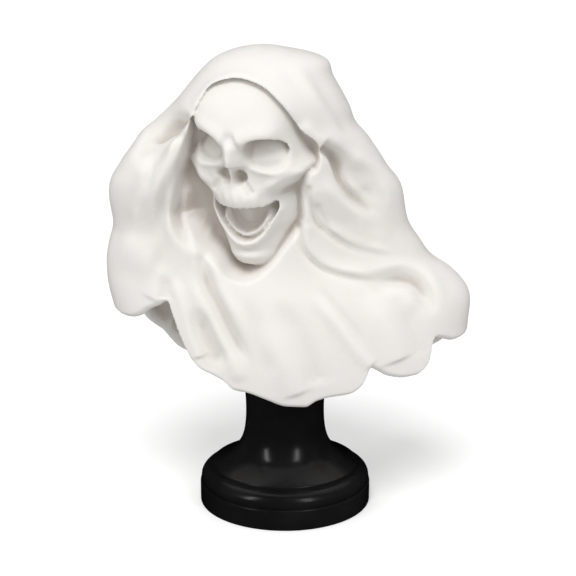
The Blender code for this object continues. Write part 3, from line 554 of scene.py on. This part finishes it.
def inner_cloth(theta, share):
    """Underside from the hem (share 0) over its lip, up into the hollow and down to the seat."""
    hem = outer_cloth(theta, np.ones_like(theta))
    reach = np.hypot(hem[:, 0], hem[:, 1])
    hollow = np.clip((reach - 60) * 0.35, 4, 16)
    lip = HEM_THICKNESS
    seat = SEAT_RADIUS

    def at(radius, height):
        """Point at a radius on the way from the axis to the hem."""
        radius = np.broadcast_to(radius, reach.shape)
        height = np.broadcast_to(height, reach.shape)
        return np.stack([hem[:, 0] / reach * radius, hem[:, 1] / reach * radius, height], -1)

    z = hem[:, 2]
    points = np.stack([
        hem,
        at(reach - 0.5 * lip, z - 2.2),
        at(reach - lip, z + 1.0),
        at(reach - lip - 3, z + 0.8 * hollow),
        at(np.maximum(0.72 * reach, seat + 8), np.maximum(z + hollow, 13.0)),
        at(np.maximum(0.5 * reach, seat + 3), np.maximum(0.5 * (z + hollow), 9.0)),
        at(seat, SEAT_HEIGHT_OVER),
        at(seat, -SEAT_DEPTH),
        at(0.5 * seat, -SEAT_DEPTH),
        at(0.0, -SEAT_DEPTH),
    ])
    last = len(points) - 1
    s = share * last
    below = np.floor(s).astype(int)
    k = np.arange(len(theta))
    rows = [points[np.clip(below + j, 0, last), k] for j in (-1, 0, 1, 2)]
    return catmull_rom(rows, (s - np.clip(np.floor(s), 0, last))[:, None])


def mound(x, z, cx, cz, a, b, height, tilt=0.0):
    """Rounded mound: height * exp(-(u/a)^2 - (v/b)^2) in axes tilted by so many degrees."""
    c, s = math.cos(math.radians(tilt)), math.sin(math.radians(tilt))
    u = (x - cx) * c + (z - cz) * s
    v = (z - cz) * c - (x - cx) * s
    return height * np.exp(-(u / a) ** 2 - (v / b) ** 2)


def socket(ax, z):
    """Eye socket: a superellipse bowl, deeper towards the brow; returns depth and upward pull."""
    c, s = math.cos(math.radians(SOCKET_TILT)), math.sin(math.radians(SOCKET_TILT))
    (middle, height), (wide, high), power = SOCKET_MIDDLE, SOCKET_HALF, SOCKET_POWER
    u = (ax - middle) * c + (z - height) * s
    v = (z - height) * c - (ax - middle) * s
    ring = (np.abs(u / wide) ** power + np.abs(v / high) ** power) ** (1 / power)
    rise = np.clip(v / high, -1, 1)
    wall = smooth((1 - ring) * 10.5 / (3.6 - 1.9 * rise))
    depth = SOCKET_DEPTH * wall * (0.2 + 0.8 * smooth(0.27 + 0.72 * rise))
    return depth, SOCKET_PULL * depth * smooth(0.5 + 0.8 * rise)


def nose_holes(x, z):
    """Depth of the nose's holes: a bowl on each side of its line, and a groove down and out."""
    out = np.abs(x - NOSE_LINE)
    (middle, height), (wide, high) = NOSE_HOLE_MIDDLE, NOSE_HOLE_HALF
    bowl = smooth((1 - np.hypot((out - middle) / wide, (z - height) / high)) * 1.6)
    groove, _, _ = to_path(out, z, NOSE_GROOVE)
    groove = NOSE_GROOVE_DEPTH * np.exp(-(groove / NOSE_GROOVE_WIDTH) ** 2)
    return np.maximum(NOSE_HOLE_DEPTH * bowl, groove)


def mouth(x, z):
    """Depth of the open mouth, between a scalloped edge of teeth and a U, less the lower teeth."""
    ax = np.abs(x)
    scallop = TOOTH_RELIEF * np.cos(x * 2 * np.pi / TOOTH_EDGE_PITCH)
    top = MOUTH_TOP + 3.0 * smooth((ax - 14) / 8) + scallop
    bottom = MOUTH_BOTTOM + 23.0 * (ax / MOUTH_HALF) ** 2.1
    inside = np.minimum(np.minimum(top - z, z - bottom), (MOUTH_HALF - ax) * 0.9)
    depth = MOUTH_DEPTH * smooth(inside / 2.4 + 0.1)
    teeth = stroke(ax, z, LOWER_TEETH, LOWER_TEETH_WIDTH, LOWER_TEETH_HEIGHT, 0.01, 0.3)
    return depth - np.minimum(teeth, depth * 0.78)


def face(x, y, z):
    """Carves the face: every feature pushes the bare head forward (towards -y) or sideways."""
    ax = np.abs(x)
    out = TOOTH_RELIEF * np.cos(x * 2 * np.pi / TOOTH_PITCH)
    out *= np.exp(-((z + 36) / 4.5) ** 2) * smooth((20 - ax) / 5)
    for _, both, middle, width, height, fade_in, fade_out, path in FACE_RIDGES:
        out += stroke((ax if both else x) - middle, z, path, width, height, fade_in, fade_out)
    for _, both, *shape in FACE_MOUNDS:
        out += mound(ax if both else x, z, *shape)
    bowl, pull = socket(ax, z)
    front = smooth((8 - y) / 26.0)
    push = (out - bowl - nose_holes(x, z) - mouth(x, z)) * front
    side = stroke(y, z, CHEEK_ARCH, CHEEK_ARCH_WIDTH, CHEEK_ARCH_HEIGHT, 0.1, 0.3)
    for _, *shape in SIDE_MOUNDS:
        side += mound(y, z, *shape)
    x = x + np.sign(x) * side * smooth(ax / 20)
    z = z + pull * front
    x = x - CROWN_SHIFT * smooth((z + 2) / 22)
    for way, height, half, shift, reach in HEAD_BULGES:
        x = x + shift * np.exp(-((z - height) / half) ** 2) * smooth(way * x / reach)
    drop, swing = LOPSIDED
    z = z - drop * x * smooth((z + 45) / 35) * smooth((60 - z) / 40)
    x = x - swing * np.minimum(z, 0) * smooth(-z / 12)
    return np.stack([x, y - push, z], -1)


def turned_head():
    """Turn of the head: first the nod about x, then the turn about z."""
    turn, nod = math.radians(SKULL_TURN), math.radians(SKULL_NOD)
    yaw = np.array([
        [math.cos(turn), -math.sin(turn), 0], [math.sin(turn), math.cos(turn), 0], [0, 0, 1]])
    pitch = np.array([
        [1, 0, 0], [0, math.cos(nod), -math.sin(nod)], [0, math.sin(nod), math.cos(nod)]])
    return yaw @ pitch


def skull(theta, share):
    """Skull from its crown (share 0) to its chin (share 1), carved, turned right and nodding."""
    bare = np.array(SKULL, float)
    h, half, front, back, square = bare.T
    rows = np.stack([h, half, (front + back) / 2, (back - front) / 2, square], 1)
    run = np.linalg.norm(np.diff(rows[:, [0, 1, 3]], axis=0), axis=1)
    run = np.concatenate([[0.0], np.cumsum(run)])
    flip = np.array([1, -1, 1, -1, 1])
    rows = np.vstack([rows[1] * flip, rows, rows[-2] * flip])
    at = np.concatenate([[-run[1]], run, [2 * run[-1] - run[-2]]])
    s = share * run[-1]
    h, half, centre, deep, square = (hermite(at, rows[:, k], s) for k in range(5))
    power = 2.0 / square
    theta = theta - 0.45 * np.sin(theta)
    x = half * np.sign(np.sin(theta)) * np.abs(np.sin(theta)) ** power
    y = centre - deep * np.sign(np.cos(theta)) * np.abs(np.cos(theta)) ** power
    head = turned_head()
    bridge = np.array([0.0, np.interp(0.0, bare[::-1, 0], bare[::-1, 2]), 0.0])
    return face(x, y, h) @ head.T + (np.array(BRIDGE_OF_NOSE) - head @ bridge)


def cloth(theta, share):
    """Whole cloth from the crown round the hem to the middle of the seat."""
    hem_share = np.clip(share / OUTSIDE_SHARE, 0.0, 1.0)
    under_share = np.clip((share - OUTSIDE_SHARE) / (1 - OUTSIDE_SHARE), 0.0, 1.0)
    under = (share > OUTSIDE_SHARE)[:, None]
    return np.where(under, inner_cloth(theta, under_share), outer_cloth(theta, hem_share))


def closed_grid(points):
    """Vertices and faces of a grid closed round its columns, with a pole at each end."""
    rows, columns, _ = points.shape
    body = points[1:-1].reshape(-1, 3)
    co = np.vstack([points[0].mean(0), body, points[-1].mean(0)])
    ring = np.arange(columns)
    after = (ring + 1) % columns
    base = 1 + np.arange(rows - 3)[:, None] * columns
    below = base + columns
    quads = np.stack([base + ring, below + ring, below + after, base + after], -1)
    last = 1 + (rows - 3) * columns
    top = np.stack([np.zeros_like(ring), ring + 1, after + 1], -1)
    bottom = np.stack([np.full_like(ring, len(co) - 1), last + after, last + ring], -1)
    return co, quads.reshape(-1, 4), np.vstack([top, bottom])


def mesh_from_arrays(name, co, quads, triangles):
    """Mesh put together from whole arrays with foreach_set."""
    mesh = bpy.data.meshes.new(name)
    mesh.vertices.add(len(co))
    mesh.vertices.foreach_set("co", np.asarray(co, np.float32).ravel())
    corners = np.concatenate([quads.ravel(), triangles.ravel()])
    counts = np.concatenate([np.full(len(quads), 4), np.full(len(triangles), 3)])
    mesh.loops.add(len(corners))
    mesh.loops.foreach_set("vertex_index", corners.astype(np.int32))
    mesh.polygons.add(len(counts))
    starts = np.concatenate([[0], np.cumsum(counts)[:-1]])
    mesh.polygons.foreach_set("loop_start", starts.astype(np.int32))
    mesh.update(calc_edges=True)
    mesh.validate()
    return mesh


def sculpted(shape, columns, rows):
    """Closed grid of a form that is a function of the angle from the front and the share down."""
    shares = np.linspace(0, 1, rows)
    angles = np.linspace(-np.pi, np.pi, columns, endpoint=False)
    share, theta = np.meshgrid(shares, angles, indexing="ij")
    points = shape(theta.ravel(), share.ravel()).reshape(rows, columns, 3) * UNIT
    points[..., 2] += SEAT_HEIGHT
    return closed_grid(points)


def finished(piece):
    """Applies the modifiers of a piece by swapping in its evaluated mesh."""
    bpy.context.view_layer.update()
    evaluated = piece.evaluated_get(bpy.context.evaluated_depsgraph_get())
    mesh = bpy.data.meshes.new_from_object(evaluated)
    mesh.name = piece.name
    old = piece.data
    piece.modifiers.clear()
    piece.data = mesh
    bpy.data.meshes.remove(old)


def add_object(name, data):
    """New object in the scene."""
    made = bpy.data.objects.new(name, data)
    bpy.context.scene.collection.objects.link(made)
    return made


def add_piece(name, mesh, replaced):
    """Object for a finished mesh that stands for a CAD node and rides on the one body."""
    piece = add_object(name, mesh)
    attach(piece, "root")
    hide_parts(replaced)
    return piece


def vertex_values(mesh, name):
    """Three values of each vertex, as rows."""
    values = np.empty(len(mesh.vertices) * 3, np.float32)
    mesh.vertices.foreach_get(name, values)
    return values.reshape(-1, 3)


def hollowness(mesh, passes, reach):
    """How far each vertex lies below its surroundings, along its normal and shared by a reach.

    The surroundings are the mean of its neighbours, taken many times over.
    """
    count = len(mesh.vertices)
    co = vertex_values(mesh, "co").astype(float)
    normal = vertex_values(mesh, "normal")
    edges = np.empty(len(mesh.edges) * 2, np.int32)
    mesh.edges.foreach_get("vertices", edges)
    a, b = edges.reshape(-1, 2).T
    degree = np.bincount(np.concatenate([a, b]), minlength=count).astype(float)
    soft = co.copy()
    for _ in range(passes):
        sums = [np.bincount(a, soft[b, k], count) + np.bincount(b, soft[a, k], count)
                for k in range(3)]
        soft = np.stack(sums, 1) / degree[:, None]
    return np.clip(((soft - co) * normal).sum(1) / reach, -1, 1)


def mark_hollows(mesh):
    """Stores on each vertex how hollow its place is, small and wide hollows together; the marble
    paints shade into hollows and light onto ridges from it.
    """
    total = sum(share * hollowness(mesh, passes, reach)
                for passes, reach, share in (SMALL_HOLLOWS, WIDE_HOLLOWS))
    hollow = mesh.attributes.new("hollow", "FLOAT", "POINT")
    hollow.data.foreach_set("value", np.clip(total, -1, 1).astype(np.float32))


def build_bust(sizes):
    """Cloth and skull, two closed grids, joined by voxels, smoothed and thinned to one skin."""
    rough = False
    cloth_grid, skull_grid = CLOTH_GRID, SKULL_GRID
    if rough:
        cloth_grid, skull_grid = QUICK_CLOTH_GRID, QUICK_SKULL_GRID
    parts = [sculpted(cloth, *cloth_grid), sculpted(skull, *skull_grid)]
    first = len(parts[0][0])
    co = np.vstack([parts[0][0], parts[1][0]])
    quads = np.vstack([parts[0][1], parts[1][1] + first])
    triangles = np.vstack([parts[0][2], parts[1][2] + first])
    mesh = mesh_from_arrays("cast_bust", co, quads, triangles)
    piece = add_piece("cast_bust", mesh, "hooded_bust")
    join = piece.modifiers.new("Join", "REMESH")
    join.mode = "VOXEL"
    join.voxel_size = sizes.voxel * (QUICK_VOXEL if rough else 1.0)
    join.use_smooth_shade = True
    even = piece.modifiers.new("Even", "SMOOTH")
    even.factor = 0.5
    even.iterations = 4
    finished(piece)
    piece.data.calc_loop_triangles()
    thin = piece.modifiers.new("Thin", "DECIMATE")
    thin.ratio = min(1.0, sizes.most_triangles / len(piece.data.loop_triangles))
    finished(piece)
    mark_hollows(piece.data)
    piece.data.shade_smooth()
    return piece


def rounded_edge(radius, height, edge, steps):
    """Quarter circle from the top of a disc round to its side."""
    turns = [math.radians(90 * k / steps) for k in range(steps + 1)]
    return [(radius - edge + edge * math.sin(turn), height - edge + edge * math.cos(turn))
            for turn in turns]


def socle_outline(sizes):
    """Turned foot from its top down: neck, collar, torus, groove and plinth, each bead an arc."""
    radius, edge, collar = sizes.plinth_radius, sizes.edge, sizes.collar_radius
    torus_foot = sizes.plinth_height + edge
    collar_foot = torus_foot + sizes.torus_height
    neck_foot = collar_foot + sizes.collar_height
    points = [(0.0, SEAT_HEIGHT), (sizes.neck_top_radius - edge, SEAT_HEIGHT)]
    rise = SEAT_HEIGHT - neck_foot
    for k in range(NECK_STEPS, 0, -1):
        t = k / NECK_STEPS
        height = neck_foot + rise * t ** NECK_SPACING
        sweep = math.exp(-NECK_SWEEP * (height - neck_foot) / rise)
        sweep *= collar - edge - sizes.neck_radius
        flare = (sizes.neck_top_radius - sizes.neck_radius) * t ** NECK_FLARE
        points.append((sizes.neck_radius + sweep + flare, min(height, SEAT_HEIGHT - 0.5 * edge)))
    points += rounded_edge(collar, neck_foot, edge, COLLAR_EDGE_STEPS)
    points.append((collar, collar_foot + 0.3 * edge))
    inner = collar + TORUS_INSET * edge
    for k in range(TORUS_STEPS + 1):
        degrees = 90 - TORUS_SWEEP * k / TORUS_STEPS
        turn = math.radians(degrees)
        share = TORUS_BELLY * (1 + degrees / TORUS_TUCK)
        if degrees > 0:
            share = TORUS_BELLY + (1 - TORUS_BELLY) * math.sin(turn)
        points.append((inner + (radius - edge - inner) * math.cos(turn),
                       torus_foot + sizes.torus_height * share))
    points.append((radius - sizes.groove_depth, sizes.plinth_height + 0.3 * edge))
    points += rounded_edge(radius, sizes.plinth_height, edge, PLINTH_EDGE_STEPS)
    foot = rounded_edge(radius, 0.0, edge, PLINTH_EDGE_STEPS)
    points += [(across, -height) for across, height in reversed(foot)]
    points.append((0.0, 0.0))
    return np.array(points)


def build_socle(sizes):
    """Turned foot: its outline carried round the axis, radius times sine and cosine of the turn."""
    outline = socle_outline(sizes)
    turn = np.linspace(-np.pi, np.pi, SOCLE_COLUMNS, endpoint=False)
    points = np.empty((len(outline), len(turn), 3))
    points[..., 0] = outline[:, :1] * np.sin(turn)
    points[..., 1] = -outline[:, :1] * np.cos(turn)
    points[..., 2] = outline[:, 1:]
    mesh = mesh_from_arrays("satin_socle", *closed_grid(points))
    piece = add_piece("satin_socle", mesh, "turned_socle")
    piece.data.shade_smooth()
    piece.data.set_sharp_from_angle(angle=math.radians(SHARP_EDGE))
    return piece


def shader_nodes(name):
    """New material: itself, its nodes, its links and its Principled shader."""
    made = bpy.data.materials.new(name)
    made.use_nodes = True
    tree = made.node_tree
    return made, tree.nodes, tree.links, tree.nodes["Principled BSDF"]


def set_inputs(node, values):
    """Sets inputs of a node by name."""
    for name, value in values.items():
        node.inputs[name].default_value = value


def noise(nodes, links, place, scale, detail, rough):
    """Noise read at the object's own coordinates."""
    made = nodes.new("ShaderNodeTexNoise")
    set_inputs(made, {"Scale": scale, "Detail": detail, "Roughness": rough})
    links.new(place.outputs["Object"], made.inputs["Vector"])
    return made.outputs["Fac"]


def ramp(nodes, links, source, low, high, first=0.0, last=1.0):
    """Smooth step from one band of a value, low to high, to another, first to last."""
    made = nodes.new("ShaderNodeMapRange")
    set_inputs(made, {"From Min": low, "From Max": high, "To Min": first, "To Max": last})
    made.interpolation_type = "SMOOTHSTEP"
    links.new(source, made.inputs["Value"])
    return made.outputs["Result"]


def mixed(nodes, links, share, first, last):
    """Colour mixed between two colours, each a colour or a socket."""
    made = nodes.new("ShaderNodeMix")
    made.data_type = "RGBA"
    links.new(share, made.inputs["Factor"])
    for slot, value in ((made.inputs[6], first), (made.inputs[7], last)):
        if isinstance(value, tuple):
            slot.default_value = (*value, 1.0)
        else:
            links.new(value, slot)
    return made.outputs[2]


def bumped(nodes, links, height, strength, distance, under=None):
    """Bump from a height socket, on top of another bump if one is given."""
    made = nodes.new("ShaderNodeBump")
    set_inputs(made, {"Strength": strength, "Distance": distance})
    links.new(height, made.inputs["Height"])
    if under is not None:
        links.new(under, made.inputs["Normal"])
    return made.outputs["Normal"]


def cast_marble(looks):
    """Off-white cast marble: faint clouds, painted warm grey shade in its hollows, painted light on
    its ridges, a soft translucent satin skin.
    """
    made, nodes, links, shader = shader_nodes("cast_marble")
    place = nodes.new("ShaderNodeTexCoord")
    clouds = noise(nodes, links, place, scale=14.0, detail=4.0, rough=0.55)
    grain = noise(nodes, links, place, scale=900.0, detail=3.0, rough=0.6)
    dents = noise(nodes, links, place, scale=130.0, detail=3.0, rough=0.55)
    hollow = nodes.new("ShaderNodeAttribute")
    hollow.attribute_name = "hollow"
    hollow = hollow.outputs["Fac"]
    cloudy = mixed(nodes, links, ramp(nodes, links, clouds, low=0.35, high=0.68),
                   tuple(looks.marble_colour), tuple(looks.cloud_colour))
    # Painted shade: the hollows are darkened towards a warm grey where shade falls in them
    shaded = mixed(nodes, links, ramp(nodes, links, hollow, low=0.10, high=0.85, last=0.85),
                   cloudy, tuple(looks.crevice_shade_colour))
    # Painted light: the ridges are lightened where light falls more fully on them
    highlit = mixed(nodes, links, ramp(nodes, links, hollow, low=-0.15, high=-0.8, last=0.6),
                   shaded, tuple(looks.ridge_light_colour))
    links.new(highlit, shader.inputs["Base Color"])
    gloss = looks.marble_roughness
    rough = ramp(nodes, links, dents, low=0.3, high=0.7, first=gloss - 0.05, last=gloss + 0.07)
    links.new(rough, shader.inputs["Roughness"])
    set_inputs(shader, {
        "Subsurface Weight": 0.35, "Subsurface Radius": (1.0, 0.82, 0.66),
        "Subsurface Scale": 0.0028, "IOR": 1.46, "Specular IOR Level": 0.42})
    soft = bumped(nodes, links, dents, strength=0.22, distance=0.0006)
    fine = bumped(nodes, links, grain, strength=0.10, distance=0.00012, under=soft)
    links.new(fine, shader.inputs["Normal"])
    return made


def black_satin(looks):
    """Satin black lacquer: nearly black, faint orange peel and a little uneven gloss."""
    made, nodes, links, shader = shader_nodes("black_satin")
    place = nodes.new("ShaderNodeTexCoord")
    peel = noise(nodes, links, place, scale=420.0, detail=2.0, rough=0.5)
    patches = noise(nodes, links, place, scale=26.0, detail=4.0, rough=0.6)
    worn = mixed(nodes, links, ramp(nodes, links, patches, low=0.35, high=0.7),
                 tuple(looks.lacquer_colour), tuple(looks.lacquer_worn_colour))
    links.new(worn, shader.inputs["Base Color"])
    gloss = looks.lacquer_roughness
    rough = ramp(nodes, links, patches, low=0.3, high=0.7, first=gloss - 0.03, last=gloss + 0.05)
    links.new(rough, shader.inputs["Roughness"])
    set_inputs(shader, {"Specular IOR Level": 0.5})
    links.new(bumped(nodes, links, peel, strength=0.10, distance=0.00025), shader.inputs["Normal"])
    return made


def matt_glow(name, colour, glow):
    """Matt material that gives off some white light by itself."""
    made, _, _, shader = shader_nodes(name)
    set_inputs(shader, {
        "Base Color": (*colour, 1.0), "Roughness": 1.0, "Specular IOR Level": 0.0,
        "Emission Color": (1.0, 1.0, 1.0, 1.0), "Emission Strength": glow})
    return made


SHARE = {"min": 0, "max": 1, "subtype": "FACTOR"}


def number(name, description, value, **more):
    """Property that holds a number."""
    return bpy.props.FloatProperty(name=name, description=description, default=value, **more)


def metres(name, description, value, **more):
    """Property that holds a length."""
    return number(name, description, value, unit="LENGTH", **more)


def tint(name, description, value):
    """Property that holds a colour."""
    return bpy.props.FloatVectorProperty(
        name=name, description=description, subtype="COLOR", size=3, default=value, min=0, max=1)


class BustSizes(bpy.types.PropertyGroup):
    """Sizes of the casting's skin."""

    voxel: metres("Grain of the skin", "Size of the cells that join cloth and skull", 0.00085,
                  min=0.0005, precision=5)
    most_triangles: bpy.props.IntProperty(
        name="Most triangles", description="Count that the skin is thinned to",
        default=192000, min=10000)


class SocleSizes(bpy.types.PropertyGroup):
    """Sizes of the turned foot; its plinth radius defaults to the frame's."""

    plinth_radius: metres("Plinth radius", "Widest radius of the foot", SOCLE_HIGH[0])
    plinth_height: metres("Plinth height", "Height of the lowest disc", 0.0143)
    edge: metres("Edge rounding", "Radius of the rounded edges", 0.0008)
    groove_depth: metres("Groove depth", "Depth of the groove over the plinth", 0.0016)
    torus_height: metres("Torus height", "Height of the round moulding", 0.0095)
    collar_radius: metres("Collar radius", "Radius of the low collar under the neck", 0.0513)
    collar_height: metres("Collar height", "Height of the low collar", 0.0032)
    neck_radius: metres("Neck radius", "Least radius of the neck", 0.0267)
    neck_top_radius: metres("Neck top radius", "Radius where the bust sits", 0.0290)


class BustLooks(bpy.types.PropertyGroup):
    """Colours and gloss of both finishes."""

    marble_colour: tint("Marble", "Main colour of the casting", (0.80, 0.775, 0.742))
    cloud_colour: tint("Marble clouds", "Faint second tone", (0.765, 0.735, 0.70))
    # Painted shade laid into the hollows of the marble
    crevice_shade_colour: tint("Hollows", "Tone of the hollows", (0.57, 0.525, 0.475))
    # Painted light laid onto the ridges of the marble
    ridge_light_colour: tint("Ridges", "Tone of rubbed ridges", (0.84, 0.82, 0.79))
    marble_roughness: number("Marble roughness", "Softness of its sheen", 0.46, **SHARE)
    lacquer_colour: tint("Lacquer", "Colour of the foot", (0.006, 0.006, 0.0065))
    lacquer_worn_colour: tint(
        "Lacquer, handled", "Second tone of the foot", (0.010, 0.010, 0.0105))
    lacquer_roughness: number("Lacquer roughness", "Softness of its sheen", 0.23, **SHARE)


class StudioLooks(bpy.types.PropertyGroup):
    """Floor, sky and lamps."""

    floor_colour: tint("Floor", "Colour of the floor", (0.98, 0.98, 0.98))
    sky_strength: number("Sky", "Strength of the even white sky", 0.62, min=0)
    floor_glow: number("Floor glow", "Light that the floor gives by itself", 0.10, min=0)
    backdrop_glow: number("Backdrop glow", "Brightness of the far white backdrop", 1.0, min=0)
    key_strength: number("Key", "Strength of the wide light above the front", 1.5, min=0)
    left_power: number("Left", "Power of the lamp on the left", 1.9, min=0, unit="POWER")
    right_power: number("Right", "Power of the lamp on the right", 1.9, min=0, unit="POWER")


class OBJECT_OT_cast_bust(bpy.types.Operator):
    """Build the casting of skull, hood and cloth and give it its marble"""

    bl_idname = "object.cast_bust"
    bl_label = "Cast bust"

    def execute(self, context):
        piece = build_bust(context.scene.bust_sizes)
        piece.data.materials.clear()
        piece.data.materials.append(cast_marble(context.scene.bust_looks))
        return {"FINISHED"}


class OBJECT_OT_satin_socle(bpy.types.Operator):
    """Turn the foot and give it its satin black"""

    bl_idname = "object.satin_socle"
    bl_label = "Satin socle"

    def execute(self, context):
        piece = build_socle(context.scene.socle_sizes)
        piece.data.materials.append(black_satin(context.scene.bust_looks))
        return {"FINISHED"}


def add_lamp(name, azimuth, power):
    """Tall lamp round the bust's middle, facing it; azimuth 0 is the front."""
    lamp = bpy.data.lights.new(name, "AREA")
    lamp.shape = "RECTANGLE"
    lamp.size, lamp.size_y = LAMP_SIDES
    lamp.energy = power
    a, e = math.radians(azimuth), math.radians(LAMP_RISE)
    out = LAMP_DISTANCE * math.cos(e)
    aim = 0.5 * SEAT_HEIGHT + 0.5 * BUST_HIGH[2]
    holder = add_object(name, lamp)
    holder.location = (out * math.sin(a), -out * math.cos(a), aim + LAMP_DISTANCE * math.sin(e))
    holder.rotation_euler = (math.pi / 2 - e, 0.0, a)


def add_key(strength):
    """Wide soft light from above the front."""
    key = bpy.data.lights.new("key", "SUN")
    key.energy = strength
    key.angle = math.radians(KEY_WIDTH)
    holder = add_object("key", key)
    holder.rotation_euler = (math.radians(KEY_TILT), 0.0, math.radians(KEY_TURN))
    holder.visible_glossy = False


def add_floor(looks):
    """Pale matt floor, a flat square."""
    half = FLOOR_HALF
    corners = [(-half, -half, 0.0), (half, -half, 0.0), (half, half, 0.0), (-half, half, 0.0)]
    mesh = bpy.data.meshes.new("floor")
    mesh.from_pydata(corners, [], [(0, 1, 2, 3)])
    mesh.materials.append(matt_glow("pale_floor", looks.floor_colour, looks.floor_glow))
    floor = add_object("floor", mesh)
    floor.visible_glossy = False
    floor.visible_diffuse = False


def add_backdrop(glow):
    """Far white ball that only the camera sees; each point is its direction times the radius."""
    turns = np.linspace(0, 2 * np.pi, 48, endpoint=False)
    rises = np.linspace(-0.5 * np.pi, 0.5 * np.pi, 25)
    turn, rise = np.meshgrid(turns, rises)
    way = [np.cos(rise) * np.cos(turn), np.cos(rise) * np.sin(turn), np.sin(rise)]
    points = BACKDROP_RADIUS * np.stack(way, -1)
    ball = add_object("backdrop", mesh_from_arrays("backdrop", *closed_grid(points)))
    ball.data.materials.append(matt_glow("white_backdrop", (0.0, 0.0, 0.0), glow))
    for ray in ("diffuse", "glossy", "transmission", "volume_scatter", "shadow"):
        setattr(ball, "visible_" + ray, False)


def add_sky(scene, strength):
    """Even white sky, unseen in the lacquer."""
    scene.world = bpy.data.worlds.new("white_sky")
    scene.world.use_nodes = True
    set_inputs(scene.world.node_tree.nodes["Background"],
               {"Color": (1.0, 1.0, 1.0, 1.0), "Strength": strength})
    scene.world.cycles_visibility.glossy = False


def add_camera(scene):
    """Camera where the photograph was taken."""
    camera = bpy.data.cameras.new("camera")
    camera.lens = CAMERA_LENS
    camera.sensor_width = CAMERA_SENSOR
    camera.shift_x = AXIS_OFFSET_PIXELS / IMAGE_SIDE
    camera.clip_start = CAMERA_CLIP
    holder = add_object("camera", camera)
    holder.location = CAMERA_PLACE
    holder.rotation_euler = (math.radians(90 + CAMERA_PITCH), 0.0, 0.0)
    scene.camera = holder


class SCENE_OT_studio(bpy.types.Operator):
    """Lay the pale floor, light it softly and set the camera where the photograph was taken"""

    bl_idname = "scene.bust_studio"
    bl_label = "Studio"

    def execute(self, context):
        scene = context.scene
        looks = scene.studio_looks
        add_floor(looks)
        add_backdrop(looks.backdrop_glow)
        add_sky(scene, looks.sky_strength)
        add_key(looks.key_strength)
        add_lamp("left", LEFT_LAMP, looks.left_power)
        add_lamp("right", RIGHT_LAMP, looks.right_power)
        add_camera(scene)
        scene.view_settings.view_transform = "Standard"
        return {"FINISHED"}


class VIEW3D_PT_hooded_bust(bpy.types.Panel):
    """Sizes, colours and the three builders"""

    bl_label = "Hooded bust"
    bl_space_type = "VIEW_3D"
    bl_region_type = "UI"
    bl_category = "Bust"

    def draw(self, context):
        for group_name, group in GROUPS.items():
            box = self.layout.box()
            for name in group.__annotations__:
                box.prop(getattr(context.scene, group_name), name)
        for operator in (OBJECT_OT_cast_bust, OBJECT_OT_satin_socle, SCENE_OT_studio):
            self.layout.operator(operator.bl_idname)


GROUPS = {
    "bust_sizes": BustSizes,
    "socle_sizes": SocleSizes,
    "bust_looks": BustLooks,
    "studio_looks": StudioLooks,
}
CLASSES = (*GROUPS.values(), OBJECT_OT_cast_bust, OBJECT_OT_satin_socle, SCENE_OT_studio,
           VIEW3D_PT_hooded_bust)


def register():
    """Adds the classes, and the groups to the scene."""
    for item in CLASSES:
        bpy.utils.register_class(item)
    for name, group in GROUPS.items():
        setattr(bpy.types.Scene, name, bpy.props.PointerProperty(type=group))


def unregister():
    """Takes the groups and the classes away again."""
    for name in GROUPS:
        delattr(bpy.types.Scene, name)
    for item in reversed(CLASSES):
        bpy.utils.unregister_class(item)


def main():
    """Registers the classes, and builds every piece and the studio."""
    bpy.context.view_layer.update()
    register()
    bpy.ops.object.satin_socle()
    bpy.ops.object.cast_bust()
    bpy.ops.scene.bust_studio()
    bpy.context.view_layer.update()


if __name__ == "__main__":
    main()
